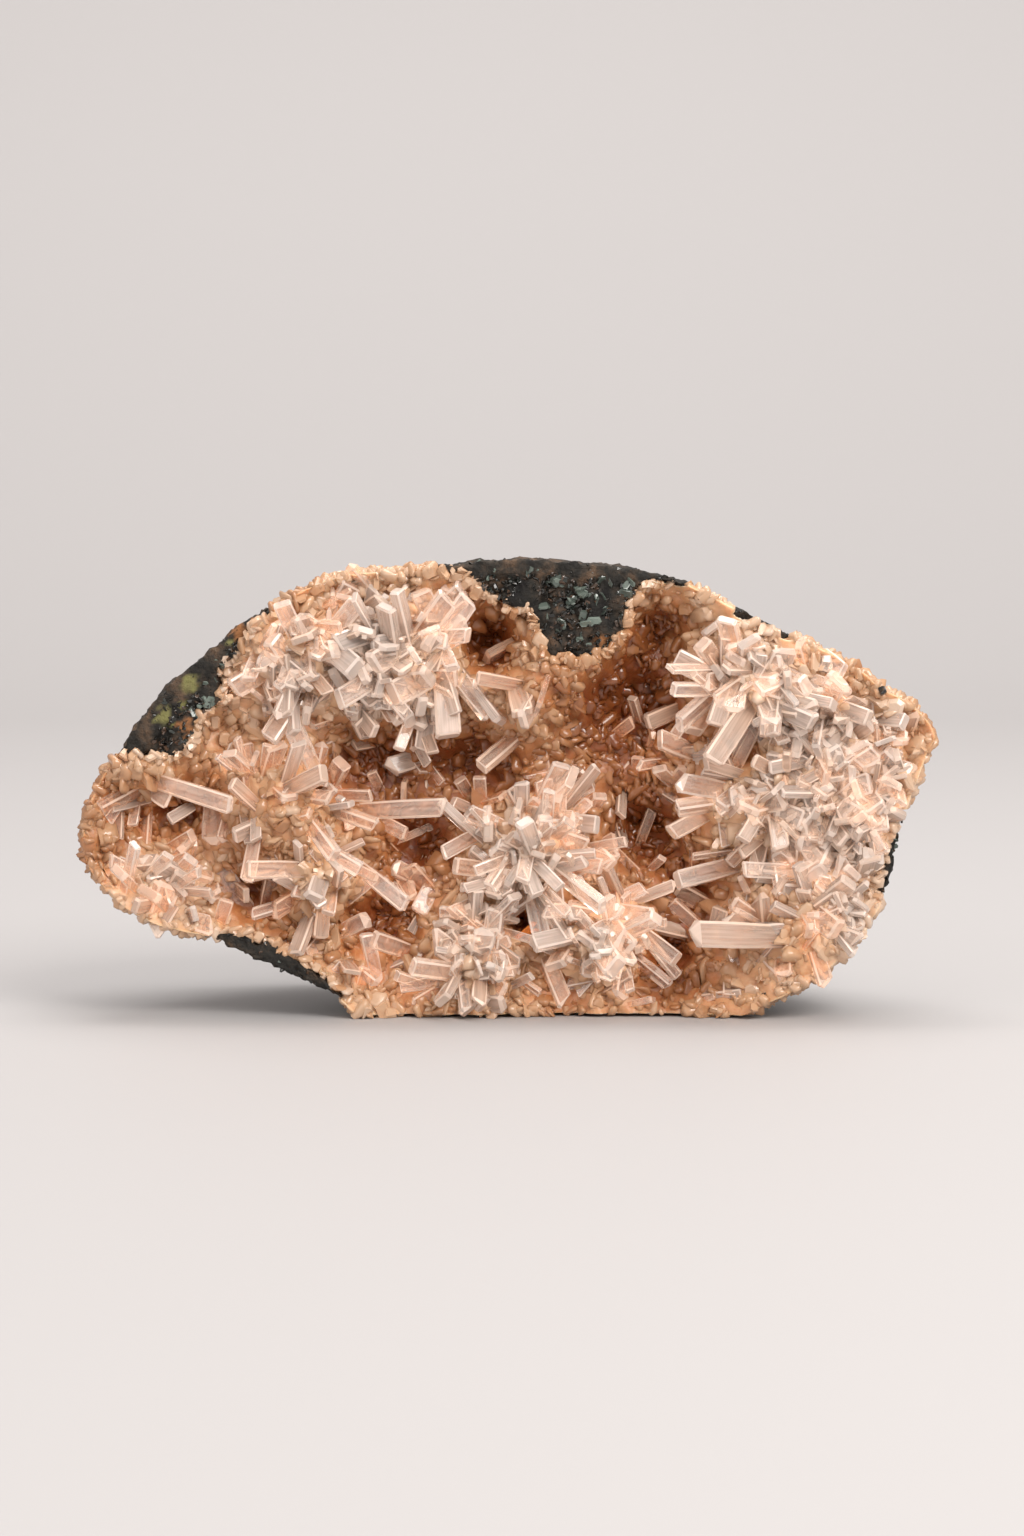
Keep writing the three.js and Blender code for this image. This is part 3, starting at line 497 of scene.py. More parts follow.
# Materials
def nodes_of(name):
    material = bpy.data.materials.new(name)
    material.use_nodes = True
    tree = material.node_tree
    shader = tree.nodes["Principled BSDF"]
    return material, tree, shader


def node(tree, kind, **values):
    made = tree.nodes.new(kind)
    for key, value in values.items():
        if hasattr(made, key):
            setattr(made, key, value)
        else:
            made.inputs[key.replace("_", " ")].default_value = value
    return made


def ramp(tree, source, stops):
    made = tree.nodes.new("ShaderNodeValToRGB")
    elements = made.color_ramp.elements
    while len(elements) > 1:
        elements.remove(elements[-1])
    for i, (position, colour) in enumerate(stops):
        element = elements[0] if i == 0 else elements.new(position)
        element.position = position
        element.color = (*colour, 1)
    tree.links.new(source, made.inputs[0])
    return made.outputs[0]


def tinted(tree, spread=0.3, scale=420.0):
    """The piece's tint with fine variation from place to place."""
    tint = node(tree, "ShaderNodeAttribute", attribute_name="tint")
    place = tree.nodes.new("ShaderNodeTexCoord")
    cloud = node(tree, "ShaderNodeTexNoise", Scale=scale, Detail=3.0)
    tree.links.new(place.outputs["Object"], cloud.inputs["Vector"])
    centred = node(tree, "ShaderNodeMath", operation="SUBTRACT")
    centred.inputs[1].default_value = 0.5
    tree.links.new(cloud.outputs[0], centred.inputs[0])
    mixed = node(tree, "ShaderNodeMath", operation="MULTIPLY_ADD")
    mixed.inputs[1].default_value = spread
    tree.links.new(centred.outputs[0], mixed.inputs[0])
    tree.links.new(tint.outputs["Fac"], mixed.inputs[2])
    return mixed.outputs[0], place


def bumpy(tree, shader, place, scale, detail, strength, distance):
    """Fine unevenness of the surface."""
    grain = node(tree, "ShaderNodeTexNoise", Scale=scale, Detail=detail)
    tree.links.new(place.outputs["Object"], grain.inputs["Vector"])
    bump = node(tree, "ShaderNodeBump", Strength=strength, Distance=distance)
    tree.links.new(grain.outputs[0], bump.inputs["Height"])
    tree.links.new(bump.outputs[0], shader.inputs["Normal"])


def plain_material(name, colour, roughness):
    material, _, shader = nodes_of(name)
    shader.inputs["Base Color"].default_value = (*colour, 1)
    shader.inputs["Roughness"].default_value = roughness
    return material


PEACH = [
    (0.0, (0.24, 0.065, 0.015)), (0.25, (0.48, 0.20, 0.075)), (0.5, (0.69, 0.41, 0.23)),
    (0.75, (0.81, 0.58, 0.41)), (1.0, (0.90, 0.74, 0.62)),
]


def crust_material():
    material, tree, shader = nodes_of("peach_crust")
    tint, place = tinted(tree)
    tree.links.new(ramp(tree, tint, PEACH), shader.inputs["Base Color"])
    shader.inputs["Roughness"].default_value = 0.34
    # Light soaks evenly into the waxy surface
    shader.inputs["Subsurface Weight"].default_value = 1.0
    shader.inputs["Subsurface Radius"].default_value = (1.0, 1.0, 1.0)
    shader.inputs["Subsurface Scale"].default_value = 1.1 * MM
    bumpy(tree, shader, place, 1400.0, 4.0, 0.5, 0.0004)
    return material


def grain_material():
    material, tree, shader = nodes_of("druse")
    tint, place = tinted(tree, 0.3, 260.0)
    tree.links.new(ramp(tree, tint, PEACH), shader.inputs["Base Color"])
    shader.inputs["Roughness"].default_value = 0.22
    shader.inputs["IOR"].default_value = 1.5
    shader.inputs["Transmission Weight"].default_value = 0.25
    shader.inputs["Coat Weight"].default_value = 0.35
    shader.inputs["Coat Roughness"].default_value = 0.07
    bumpy(tree, shader, place, 1100.0, 2.0, 0.3, 0.0003)
    return material


def crystal_material(name, clear):
    material, tree, shader = nodes_of(name)
    tint = node(tree, "ShaderNodeAttribute", attribute_name="tint")
    stops = [(0.0, (0.89, 0.51, 0.30)), (0.5, (0.95, 0.73, 0.58)), (1.0, (0.97, 0.84, 0.75))]
    tree.links.new(ramp(tree, tint.outputs["Fac"], stops), shader.inputs["Base Color"])
    shader.inputs["IOR"].default_value = 1.5
    # Fine lines along the prism
    uv = tree.nodes.new("ShaderNodeUVMap")
    scale = node(tree, "ShaderNodeMapping")
    scale.inputs["Scale"].default_value = (2.2, 0.12, 1.0)
    tree.links.new(uv.outputs[0], scale.inputs["Vector"])
    lines = node(tree, "ShaderNodeTexNoise", Scale=1.0, Detail=1.0)
    tree.links.new(scale.outputs[0], lines.inputs["Vector"])
    bump = node(tree, "ShaderNodeBump", Strength=0.03, Distance=0.0002)
    tree.links.new(lines.outputs[0], bump.inputs["Height"])
    tree.links.new(bump.outputs[0], shader.inputs["Normal"])
    # Clear faces with milky veils between frosted edges
    veil = node(tree, "ShaderNodeMapRange")
    veil.inputs["From Min"].default_value = 0.38
    veil.inputs["From Max"].default_value = 0.62
    veil.inputs["To Min"].default_value = 0.88 if clear else 0.72
    veil.inputs["To Max"].default_value = 0.72 if clear else 0.6
    tree.links.new(lines.outputs[0], veil.inputs["Value"])
    frost = node(tree, "ShaderNodeAttribute", attribute_name="frost")
    through = node(tree, "ShaderNodeMix", data_type="FLOAT")
    through.inputs["B"].default_value = 0.4 if clear else 0.3
    tree.links.new(frost.outputs["Fac"], through.inputs["Factor"])
    tree.links.new(veil.outputs[0], through.inputs["A"])
    tree.links.new(through.outputs[0], shader.inputs["Transmission Weight"])
    shader.inputs["Roughness"].default_value = 0.08 if clear else 0.16
    absorb = node(tree, "ShaderNodeVolumeAbsorption")
    absorb.inputs["Color"].default_value = (0.95, 0.88, 0.82, 1)
    absorb.inputs["Density"].default_value = 20.0
    tree.links.new(absorb.outputs[0], tree.nodes["Material Output"].inputs["Volume"])
    return material


def basalt_material():
    material, tree, shader = nodes_of("basalt")
    place = tree.nodes.new("ShaderNodeTexCoord")
    cloud = node(tree, "ShaderNodeTexNoise", Scale=260.0, Detail=6.0, Roughness=0.65)
    tree.links.new(place.outputs["Object"], cloud.inputs["Vector"])
    stops = [(0.3, (0.006, 0.005, 0.005)), (0.45, (0.02, 0.018, 0.015)),
             (0.54, (0.05, 0.037, 0.027)), (0.63, (0.11, 0.068, 0.042)),
             (0.76, (0.19, 0.15, 0.11))]
    dark = ramp(tree, cloud.outputs[0], stops)
    lichen = node(tree, "ShaderNodeAttribute", attribute_name="lichen")
    mixed = node(tree, "ShaderNodeMix", data_type="RGBA")
    tree.links.new(lichen.outputs["Fac"], mixed.inputs["Factor"])
    tree.links.new(dark, mixed.inputs["A"])
    mixed.inputs["B"].default_value = (0.20, 0.19, 0.07, 1)
    rust = node(tree, "ShaderNodeAttribute", attribute_name="rust")
    rusted = node(tree, "ShaderNodeMix", data_type="RGBA")
    tree.links.new(rust.outputs["Fac"], rusted.inputs["Factor"])
    tree.links.new(mixed.outputs["Result"], rusted.inputs["A"])
    rusted.inputs["B"].default_value = (0.30, 0.13, 0.05, 1)
    tree.links.new(rusted.outputs["Result"], shader.inputs["Base Color"])
    shader.inputs["Roughness"].default_value = 0.75
    shader.inputs["Specular IOR Level"].default_value = 0.3
    bumpy(tree, shader, place, 900.0, 5.0, 1.0, 0.0009)
    return material


def dark_grain_material():
    material, tree, shader = nodes_of("glassy_spots")
    tint = node(tree, "ShaderNodeAttribute", attribute_name="tint")
    stops = [(0.0, (0.008, 0.008, 0.007)), (0.5, (0.02, 0.018, 0.014)),
             (0.66, (0.09, 0.05, 0.03)), (0.8, (0.014, 0.016, 0.014)),
             (0.9, (0.04, 0.05, 0.043)), (1.0, (0.16, 0.2, 0.17))]
    tree.links.new(ramp(tree, tint.outputs["Fac"], stops), shader.inputs["Base Color"])
    shader.inputs["Roughness"].default_value = 0.2
    shader.inputs["Coat Weight"].default_value = 0.3
    return material


# Pieces
def drop_crumbs(mesh):
    """Only the mesh's largest connected part stays."""
    work = bmesh.new()
    work.from_mesh(mesh)
    left, parts = set(work.verts), []
    while left:
        part, ahead = set(), [left.pop()]
        while ahead:
            vert = ahead.pop()
            part.add(vert)
            near = {edge.other_vert(vert) for edge in vert.link_edges} & left
            left -= near
            ahead.extend(near)
        parts.append(part)
    parts.sort(key=len)
    crumbs = [vert for part in parts[:-1] for vert in part]
    bmesh.ops.delete(work, geom=crumbs, context="VERTS")
    work.to_mesh(mesh)
    work.free()


def basalt_piece():
    """The basalt: its solid's shape with broken-rock unevenness."""
    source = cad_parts["basalt_matrix"]
    copy = bpy.data.objects.new("basalt_source", source.data.copy())
    bpy.context.scene.collection.objects.link(copy)
    remesh = copy.modifiers.new("fine", "REMESH")
    remesh.mode = "VOXEL"
    remesh.voxel_size = VOXEL * MM
    evaluated = copy.evaluated_get(bpy.context.evaluated_depsgraph_get())
    mesh = bpy.data.meshes.new_from_object(evaluated)
    bpy.data.objects.remove(copy)
    drop_crumbs(mesh)
    count = len(mesh.vertices)
    co = np.empty(count * 3)
    normal = np.empty(count * 3)
    mesh.vertices.foreach_get("co", co)
    mesh.vertices.foreach_get("normal", normal)
    co, normal = co.reshape(-1, 3) / MM, normal.reshape(-1, 3)
    place = co - SHIFT
    foot = np.clip(place[:, 2] / 1.2, 0, 1)
    rough = 0.5 * clouds(place, 3.0) + 0.28 * clouds(place, 1.1, 2)
    pits = np.clip(clouds(place + 40, 2.6, 1) - 0.32, 0, 1) * 2.2
    inner = (reach(place[:, 0], place[:, 2]) < 0.985) & (place[:, 1] < -2)
    covered = inner & (bareness(place[:, 0], place[:, 2]) < -1.2)
    move = (rough - pits - 0.12) * foot * np.where(covered, 0.0, 1.0)
    co = co + normal * move[:, None]
    co[:, 2] = np.where(place[:, 2] < 0.3, place[:, 2], np.maximum(co[:, 2], 0.02))
    x, z = place[:, 0], place[:, 2]
    # Rock fills the crust's edge from behind and the notches beside the bare strips
    bare, out = bareness(x, z), reach(x, z)
    fill = (out > 0.93) & (z > 1.5) & (place[:, 1] < -10.5)
    fill &= (out < 0.985) | (np.abs(normal[:, 1]) > 0.5)
    level = FRONT + BARE_DIP + 0.3 * rough
    level = np.where(bare > -0.2, level, np.maximum(level, crust_front(x, z) + 1.1))
    co[fill, 1] = np.minimum(co[fill, 1], level[fill])
    inward = fill & (bare < -0.2) & (out > ROCK_SHARE)
    centre = np.array(CENTRE) + SHIFT[[0, 2]]
    across = np.ix_(inward, [0, 2])
    co[across] = centre + (co[across] - centre) * (ROCK_SHARE / out[inward])[:, None]
    mesh.vertices.foreach_set("co", (co * MM).ravel())
    front = np.clip((-13 - place[:, 1]) / 2, 0, 1)
    speck = clouds(place + 7, 1.0, 2)
    for key, stains in (("lichen", LICHEN), ("rust", RUST)):
        values = sum(spot(x, z, sx, sz, radius) for sx, sz, radius in stains)
        layer = mesh.attributes.new(key, "FLOAT", "POINT")
        strength = np.clip(3 * (values * front - 0.35 + 0.8 * speck), 0, 1) * (values > 0.12)
        layer.data.foreach_set("value", strength.astype(np.float32))
    mesh.polygons.foreach_set("use_smooth", np.full(len(mesh.polygons), True))
    obj = bpy.data.objects.new("basalt", mesh)
    bpy.context.scene.collection.objects.link(obj)
    mesh.materials.clear()
    mesh.materials.append(basalt_material())
    mesh.update()
    return obj


def tone_and_painted_shade_at(x, z, y):
    """How pale the crust is, with painted shade darkening its hollows and pits: 0 deep orange brown,
    1 near white.
    """
    depth = y - FRONT
    # Painted shade: the crust is darker the deeper it lies behind its front, in the hollows
    tint = 0.62 - 0.045 * np.maximum(depth - 2, 0)
    for tx, tz, radius, amount in TINTS_AND_PAINTED_SHADE:
        tint = tint + amount * spot(x, z, tx, tz, radius)
    return tint


def crust_surface(x, z):
    """The crust's front with its small lumps, dropping behind the bare basalt's face."""
    y = crust_front(x, z)
    flat = np.stack([np.ravel(x), np.zeros(np.size(x)), np.ravel(z)], axis=1)
    y = y - (1.1 * lumps(flat, 3.4).reshape(np.shape(x)) - 0.5)
    y = y - (0.5 * lumps(flat + 50, 1.5).reshape(np.shape(x)) - 0.2)
    return y + sunk_share(bareness(x, z)) * SUNK_DEPTH


def crust_piece():
    turns, rings = 700, 128
    angle = np.linspace(-math.pi, math.pi, turns, endpoint=False)
    share = np.sqrt(np.linspace(0.0002, 1, rings))
    radius = radius_at(angle)[None] - EDGE_INSET
    x = CENTRE[0] + share[:, None] * radius * np.cos(angle)
    z = CENTRE[1] + share[:, None] * radius * np.sin(angle)
    z = np.maximum(z, FOOT_LIFT)
    y = crust_surface(x, z)
    # Near the rim, the part behind bare basalt also turns in under its skin
    near_rim = np.clip((share[:, None] - 0.9) / 0.06, 0, 1)
    inward = 1 - 0.05 * sunk_share(bareness(x, z)) * near_rim
    x, z = CENTRE[0] + (x - CENTRE[0]) * inward, CENTRE[1] + (z - CENTRE[1]) * inward
    # The rim's side runs back to the basalt, and its hind edge turns in over it
    for step, tuck in ((0.35, 0), (0.7, 0), (1.0, 0), (1.15, 0), (1.2, 0.6), (1.2, 3.0)):
        edge = np.stack([x[rings - 1], np.full(turns, 9.0 * step), z[rings - 1]], axis=1)
        swell = (0.9 * lumps(edge, 2.4) - 0.2) * math.sin(math.pi * min(step, 1)) - tuck
        back = hollow_floor(x[-1], z[-1])
        start = y[rings - 1]
        x = np.vstack([x, x[rings - 1] + swell * np.cos(angle)])
        z = np.vstack([z, np.maximum(z[rings - 1] + swell * np.sin(angle), FOOT_LIFT)])
        y = np.vstack([y, start + (back - start) * step])
    total = x.shape[0]
    index = np.arange(total * turns).reshape(total, turns)
    after = np.roll(index, -1, axis=1)
    faces = np.stack([index[:-1], index[1:], after[1:], after[:-1]], axis=-1).reshape(-1, 4)
    verts = np.stack([x, y, z], axis=-1).reshape(-1, 3)
    # What lies behind bare basalt is left out, and the rim's side a little sooner
    bare = bareness(x, z)
    bare[rings:] = bare[rings - 1] + 0.8
    buried = bare.ravel() > 0.45
    kept, faces = np.unique(faces[~buried[faces].any(axis=1)], return_inverse=True)
    verts, faces = verts[kept], faces.reshape(-1, 4)
    tint = tone_and_painted_shade_at(verts[:, 0], verts[:, 2], verts[:, 1]) - 0.08
    obj = mesh_object("crust_ground", verts, faces, {"tint": tint}, smooth=True)
    obj.data.materials.append(crust_material())
    return obj


def scattered(count, tried, lowest, wanted):
    """Random x and z over the front, drawn until wanted(x, z) has kept enough."""
    found = []
    while sum(len(part) for part in found) < count:
        x = rng.uniform(-62, 62, tried)
        z = rng.uniform(lowest, 67, tried)
        found.append(np.stack([x, z], axis=1)[wanted(x, z)])
    return np.concatenate(found)[:count].T


def surface_points(count, margin, edge):
    """Random points on the crust with their normals."""
    x, z = scattered(count, count, FOOT_LIFT,
                     lambda x, z: (reach(x, z) < edge) & (bareness(x, z) < -margin))
    step = 0.5
    y = crust_surface(x, z)
    slope_x = (crust_front(x + step, z) - crust_front(x - step, z)) / (2 * step)
    slope_z = (crust_front(x, z + step) - crust_front(x, z - step)) / (2 * step)
    normal = np.stack([slope_x, -np.ones(count), slope_z], axis=1)
    normal /= np.linalg.norm(normal, axis=1, keepdims=True)
    return np.stack([x, y, z], axis=1), normal


def druse(name, count, size_low, size_high, tall, lift, margin, edge):
    place, normal = surface_points(count, margin, edge)
    size = rng.uniform(size_low, size_high, count) * rng.uniform(0.75, 1.15, count)
    place = place - normal * (0.2 * size)[:, None]
    tint = tone_and_painted_shade_at(place[:, 0], place[:, 2], place[:, 1]) + rng.normal(0, 0.07, count) + lift
    crisp = tint + rng.normal(0, 0.15, count) > 0.6
    obj = grains(name, place, normal, size, rng.uniform(0.7, 1.3, count) * tall, tint, 0.6, crisp)
    obj.data.materials.append(grain_material())
    return obj


def rim_druse():
    """Small crystals along the crust's edge and round the bare patches."""
    angle = rng.uniform(-math.pi, math.pi, RIM_TRIED)
    radius = radius_at(angle) - EDGE_INSET
    x = CENTRE[0] + radius * np.cos(angle)
    z = CENTRE[1] + radius * np.sin(angle)
    front = crust_front(x, z)
    y = front + rng.uniform(0, 1, RIM_TRIED) * (hollow_floor(x, z) - front - 0.4)
    keep = (bareness(x, z) < -1.2) & (z > 1.2)
    x, y, z, angle = x[keep], y[keep], z[keep], angle[keep]
    place = np.stack([x, y, z], axis=1)
    normal = np.stack([np.cos(angle), np.full(len(x), -0.5), np.sin(angle)], axis=1)
    count = len(x)
    size = rng.uniform(1.2, 3.1, count)
    place = place - normal * (0.12 * size)[:, None]
    tint = tone_and_painted_shade_at(place[:, 0], place[:, 2], FRONT) + rng.normal(0, 0.06, count)
    obj = grains("druse_rim", place, normal, size, rng.uniform(0.3, 0.6, count), tint, 0.3)
    obj.data.materials.append(grain_material())
    return obj


def dark_grains():
    """Dull grains and a few glassy grey-green ones set in the bare basalt."""
    x, z = scattered(BASALT_GRAINS, 4000, 2,
                     lambda x, z: (reach(x, z) < 0.99) & (bareness(x, z) > 0.1))
    size = rng.uniform(0.4, 1.1, BASALT_GRAINS)
    tint = rng.uniform(0, 0.86, BASALT_GRAINS)
    spots = np.array(GLASSY)
    many = np.repeat(spots, 3, axis=0)
    many[:, :2] += rng.normal(0, 0.6, (len(many), 2))
    x, z = np.concatenate([x, many[:, 0]]), np.concatenate([z, many[:, 1]])
    size = np.concatenate([size, many[:, 2] * rng.uniform(0.7, 1.4, len(many))])
    tint = np.concatenate([tint, rng.uniform(0.9, 1.0, len(many))])
    # One dark grain sits in the crust near the right top
    lone_x, lone_z = 53.3, 47.5
    x, z = np.append(x, lone_x), np.append(z, lone_z)
    size, tint = np.append(size, 1.5), np.append(tint, 0.1)
    count = len(x)
    y = FRONT + BARE_DIP + 0.5 * waves(x, 3, z, 2.6) + 0.25
    y[-1] = crust_front(lone_x, lone_z) - 0.9
    place = np.stack([x, y, z], axis=1)
    normal = np.tile([[0.0, -1.0, 0.15]], (count, 1))
    obj = grains("basalt_grains", place, normal, size, rng.uniform(0.15, 0.5, count), tint, 0.35,
                 np.ones(count, bool))
    obj.data.materials.append(dark_grain_material())
    return obj


def named_crystals():
    rows = np.array([row for group in CRYSTALS.values() for row in group], float)
    fx, fz, tx, tz, width, rise, pointed = rows.T
    ground = crust_front(fx, fz)
    foot = np.stack([fx, ground + 1.2, fz], axis=1)
    tip = np.stack([tx, ground - rise, tz], axis=1)
    return foot, tip, width, pointed


def in_hollow(x, z, share=0.7):
    """Whether points lie over a deep pit of the crust, within a share of its radius."""
    hit = np.zeros(np.shape(x), bool)
    for rx, rz, radius, height in RELIEF:
        if height < -3:
            hit |= np.hypot(x - rx, z - rz) < share * radius
    return hit


def spray_crystals():
    """Smaller crystals fanning out of each spray's core."""
    feet, tips, widths, clear = [], [], [], []
    for sx, sz, core, count, length, width, clear_share in SPRAYS:
        count = int(count * SPRAY_SHARE)
        angle = rng.uniform(0, 2 * math.pi, count)
        away = core * np.sqrt(rng.uniform(0, 1, count))
        x, z = sx + away * np.cos(angle), sz + away * np.sin(angle)
        lean = np.clip(1.05 + 0.4 * away / core + rng.normal(0, 0.2, count), 0.6, 1.6)
        heading = angle + rng.normal(0, 1, count) * (0.8 + 1.6 * (1 - away / core))
        direction = np.stack([np.sin(lean) * np.cos(heading), -np.cos(lean),
                              np.sin(lean) * np.sin(heading)], axis=1)
        foot = np.stack([x, crust_front(x, z) + 0.8, z], axis=1)
        long = length * rng.uniform(0.5, 1.6, count)
        tip = foot + direction * long[:, None]
        tip_x, tip_z = tip[:, 0], tip[:, 2]
        foot_fine = ~in_hollow(x, z) & (reach(x, z) < 0.95) & (bareness(x, z) < -1.5)
        tip_fine = ~in_hollow(tip_x, tip_z, 1.0) & (reach(tip_x, tip_z) < 1.0) & (tip_z > 1.5)
        fine = foot_fine & tip_fine & (bareness(tip_x, tip_z) < 0.3)
        feet.append(foot[fine])
        tips.append(tip[fine])
        widths.append((width * rng.uniform(0.55, 1.2, count))[fine])
        clear.append((rng.uniform(0, 1, count) < clear_share + EXTRA_CLEAR)[fine])
    return [np.concatenate(part) for part in (feet, tips, widths, clear)]


def small_blades():
    """Short flat crystals lying every way over the pale parts of the crust."""
    place, normal = surface_points(BLADES_TRIED, 1.5, 0.95)
    pale = tone_and_painted_shade_at(place[:, 0], place[:, 2], place[:, 1])
    keep = rng.uniform(0, 1, len(place)) < np.clip((pale - 0.5) / 0.4, 0.03, 1)
    keep &= ~in_hollow(place[:, 0], place[:, 2])
    place, normal, pale = [values[keep][:BLADES] for values in (place, normal, pale)]
    count = len(place)
    turn = np.arange(count) % 5  # three of each five are clear
    axis = normal * 0.8 + rng.normal(0, 0.8, (count, 3))
    axis[:, 1] = -np.abs(axis[:, 1])
    axis /= np.linalg.norm(axis, axis=1, keepdims=True)
    width = rng.uniform(1.6, 3.6, count)
    tip = place + axis * rng.uniform(2, 5, count)[:, None]
    made = []
    for name, pick in (("blades_clear", turn > 1), ("blades_milky", turn < 2)):
        n = int(pick.sum())
        obj = prisms(name, (place - axis * 0.8)[pick], tip[pick], width[pick],
                     rng.uniform(0.25, 0.5, n), rng.uniform(0.2, 0.5, n), rng.normal(0, 0.3, n),
                     rng.uniform(0, math.pi, n),
                     np.clip(pale[pick] * 0.7 + 0.2 + rng.normal(0, 0.12, n), 0, 1))
        obj.data.materials.append(crystal_material(name, name == "blades_clear"))
        obj.visible_shadow = name != "blades_clear"  # clear crystals let the light through
        made.append(obj)
    return made


def border_teeth():
    """Small crystals standing round the bare basalt, along the crust's border."""
    points = []
    for patch in BARE_PATCHES.values():
        for (ax, az), (bx, bz) in zip(patch, patch[1:] + patch[:1]):
            for t in np.arange(0, 1, 0.55 / math.hypot(bx - ax, bz - az)):
                points.append((ax + t * (bx - ax), az + t * (bz - az)))
    points = np.repeat(np.array(points), 2, axis=0) + rng.normal(0, 0.45, (2 * len(points), 2))
    x, z = points.T
    bare = bareness(x, z)
    keep = (bare < 0.1) & (bare > -1.6) & (reach(x, z) < 0.975) & (z > 3)
    x, z = x[keep], z[keep]
    count = len(x)
    place = np.stack([x, np.minimum(crust_front(x, z), FRONT + 1.6), z], axis=1)
    normal = np.tile([[0.0, -1.0, 0.0]], (count, 1))
    tint = tone_and_painted_shade_at(x, z, FRONT) + 0.06 + rng.normal(0, 0.08, count)
    obj = grains("border_teeth", place, normal, rng.uniform(1.2, 2.5, count),
                 rng.uniform(0.3, 0.9, count), tint, 0.5, rng.uniform(0, 1, count) < 0.5)
    obj.data.materials.append(grain_material())
    return obj


def crystal_pieces():
    foot, tip, width, pointed = named_crystals()
    named = len(foot)
    small_foot, small_tip, small_width, small_clear = spray_crystals()
    clear = np.concatenate([rng.uniform(0, 1, named) < 0.8, small_clear])
    foot = np.concatenate([foot, small_foot])
    tip = np.concatenate([tip, small_tip])
    width = np.concatenate([width, small_width])
    pointed = np.concatenate([pointed, rng.uniform(0, 1, len(small_foot)) < 0.15])
    count = len(foot)
    flat = rng.uniform(0.38, 0.75, count)
    bevel = np.where(pointed > 0.5, rng.uniform(0.5, 0.65, count), rng.uniform(0.12, 0.3, count))
    slant = rng.normal(0, 0.22, count)
    # The sprays' crystals are turned about themselves twice as freely as the large ones
    roll = rng.normal(0, 0.35, count) * np.where(np.arange(count) < named, 1, 2)
    tint = tone_and_painted_shade_at(foot[:, 0], foot[:, 2], foot[:, 1]) * 0.6 + 0.46 + rng.normal(0, 0.12, count)
    made = []
    for name, pick in (("crystals_clear", clear), ("crystals_milky", ~clear)):
        obj = prisms(name, foot[pick], tip[pick], width[pick], flat[pick], bevel[pick],
                     slant[pick], roll[pick], np.clip(tint[pick], 0, 1))
        obj.data.materials.append(crystal_material(name, name == "crystals_clear"))
        obj.visible_shadow = name != "crystals_clear"  # clear crystals let the light through
        made.append(obj)
    return made


def sliver():
    """A thin rust-orange splinter in the deep gap between the lower sprays."""
    foot = np.array([[0.8, FRONT + 4.5, 10.8], [1.8, FRONT + 4.4, 11.6]])
    tip = np.array([[3.9, FRONT + 3.2, 13.6], [4.3, FRONT + 3.3, 12.6]])
    two = np.ones(2)
    obj = prisms("rust_sliver", foot, tip, two * [0.7, 0.45], two * 0.5, two * 0.3, two * 0.4,
                 two * 0.6, two)
    obj.data.materials.append(plain_material("rust_orange", (0.75, 0.24, 0.05), 0.25))
    return obj


stone_pieces = [basalt_piece(), dark_grains()]
crust_pieces = [
    crust_piece(),
    druse("druse_coarse", 1900, 1.8, 3.8, 0.8, 0.03, 1.6, 0.97),
    druse("druse_fine", 2600, 0.9, 2.2, 1.0, 0.0, 0.4, 0.99),
    *small_blades(),
    border_teeth(),
    rim_druse(),
    *crystal_pieces(),
    sliver(),
]
for piece in stone_pieces:
    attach(piece, "root")
for piece in crust_pieces:
    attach(piece, "root")
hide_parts("basalt_matrix")
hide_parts("basalt_matrix")
for piece in crust_pieces:
    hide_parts("crystal_crust")


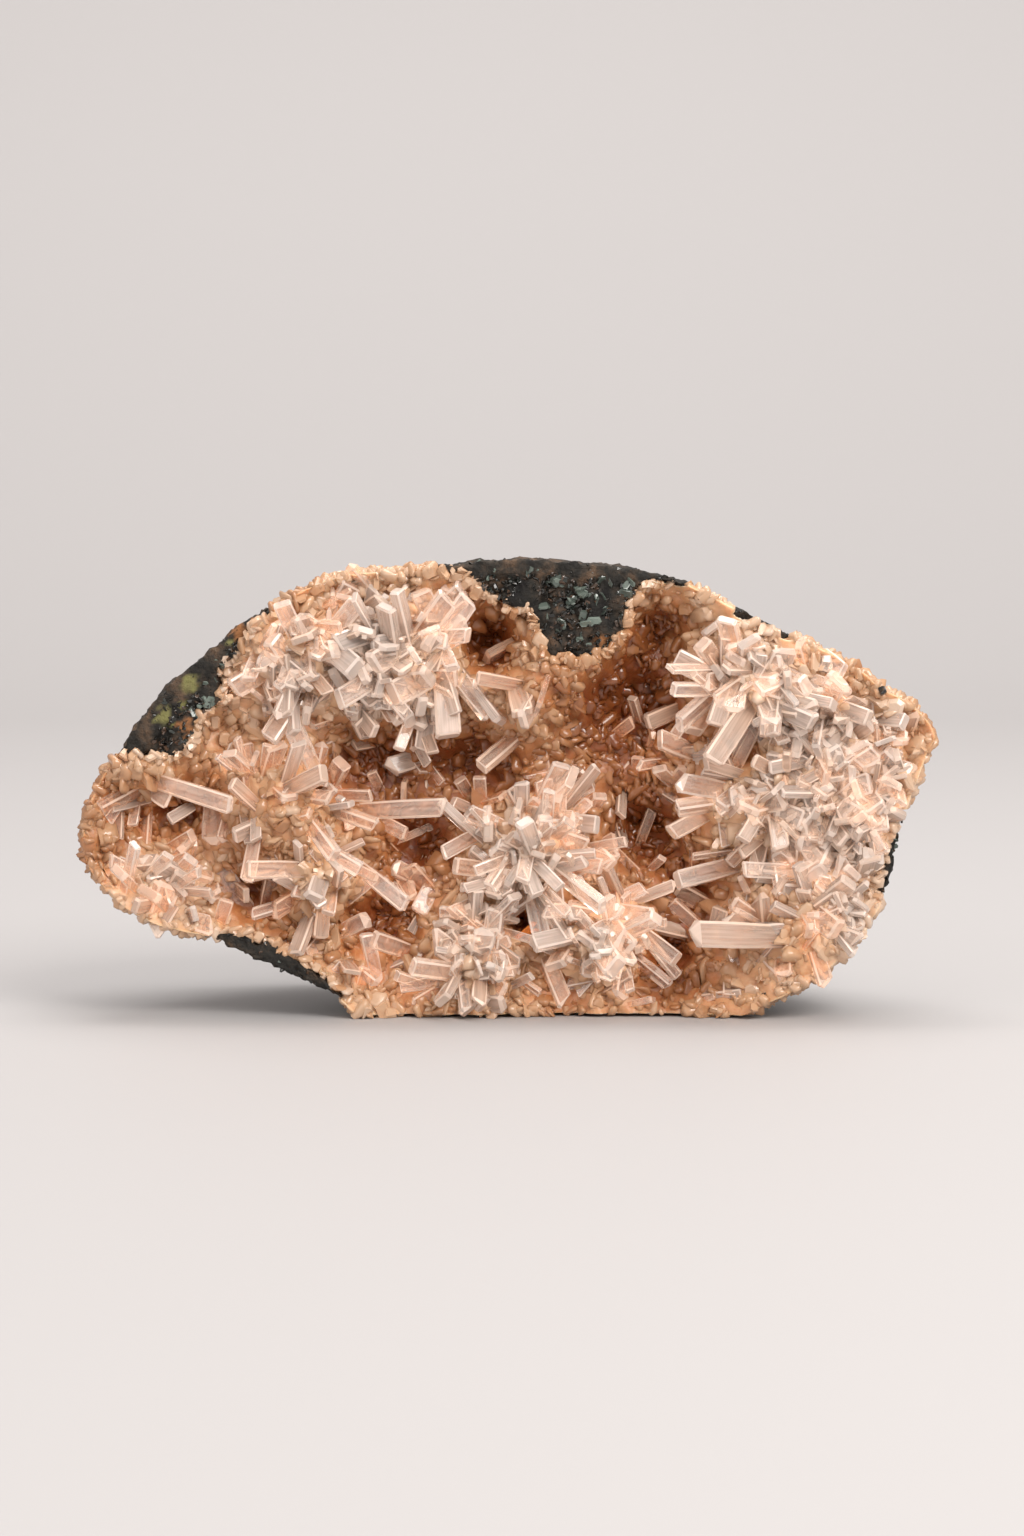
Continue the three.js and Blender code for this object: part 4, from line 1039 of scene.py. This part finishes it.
# Floor, backdrop, light and camera
def floor_and_backdrop():
    width, near, far, height, bend = 3.0, -1.2, 0.9, 1.8, 0.35
    rows = [(near, 0.0), (far - bend, 0.0)]
    for i in range(1, 13):
        a = math.pi / 2 * i / 12
        rows.append((far - bend + bend * math.sin(a), bend - bend * math.cos(a)))
    rows.append((far, height))
    verts = [(x, y, z) for y, z in rows for x in (-width, width)]
    faces = [(2 * i, 2 * i + 1, 2 * i + 3, 2 * i + 2) for i in range(len(rows) - 1)]
    mesh = bpy.data.meshes.new("floor")
    mesh.from_pydata(verts, [], faces)
    mesh.polygons.foreach_set("use_smooth", [True] * len(faces))
    obj = bpy.data.objects.new("floor", mesh)
    bpy.context.scene.collection.objects.link(obj)
    mesh.materials.append(plain_material("pale_floor", (0.44, 0.43, 0.43), 0.6))


def area_light(name, place, target, size, power, colour):
    data = bpy.data.lights.new(name, "AREA")
    data.shape = "RECTANGLE"
    data.size, data.size_y = size
    data.energy = power
    data.color = colour
    obj = bpy.data.objects.new(name, data)
    obj.location = place
    obj.rotation_euler = (Vector(target) - Vector(place)).to_track_quat("-Z", "Y").to_euler()
    bpy.context.scene.collection.objects.link(obj)


def light_and_camera():
    floor_and_backdrop()
    target = (0, -0.01, 0.03)
    area_light("key", (0.4, -0.6, 0.6), target, (0.5, 0.4), 6.6, (1.0, 0.96, 0.92))
    area_light("fill", (-0.7, -0.7, 0.35), target, (0.7, 0.7), 2.2, (1.0, 0.96, 0.93))
    area_light("backdrop", (0, 0.15, 1.3), (0, 0.9, 0.75), (1.2, 0.4), 9.6, (1.0, 0.955, 0.925))
    area_light("top", (0.1, 0.1, 0.8), target, (0.7, 0.5), 3.5, (1.0, 0.98, 0.96))
    bpy.context.scene.view_settings.view_transform = "Standard"
    world = bpy.data.worlds.new("soft")
    world.use_nodes = True
    world.node_tree.nodes["Background"].inputs["Color"].default_value = (0.96, 0.90, 0.87, 1)
    world.node_tree.nodes["Background"].inputs["Strength"].default_value = 0.7
    bpy.context.scene.world = world
    camera = bpy.data.cameras.new("camera")
    camera.sensor_width = 36
    camera.lens = 98.4
    camera.clip_start = 0.05
    obj = bpy.data.objects.new("camera", camera)
    aim = (np.array([0.6, FRONT, 36.3]) + SHIFT) * MM
    tilt = math.radians(5)
    obj.location = aim + 0.6 * np.array([0, -math.cos(tilt), math.sin(tilt)])
    obj.rotation_euler = (math.pi / 2 - tilt, 0, 0)
    bpy.context.scene.collection.objects.link(obj)
    bpy.context.scene.camera = obj


light_and_camera()
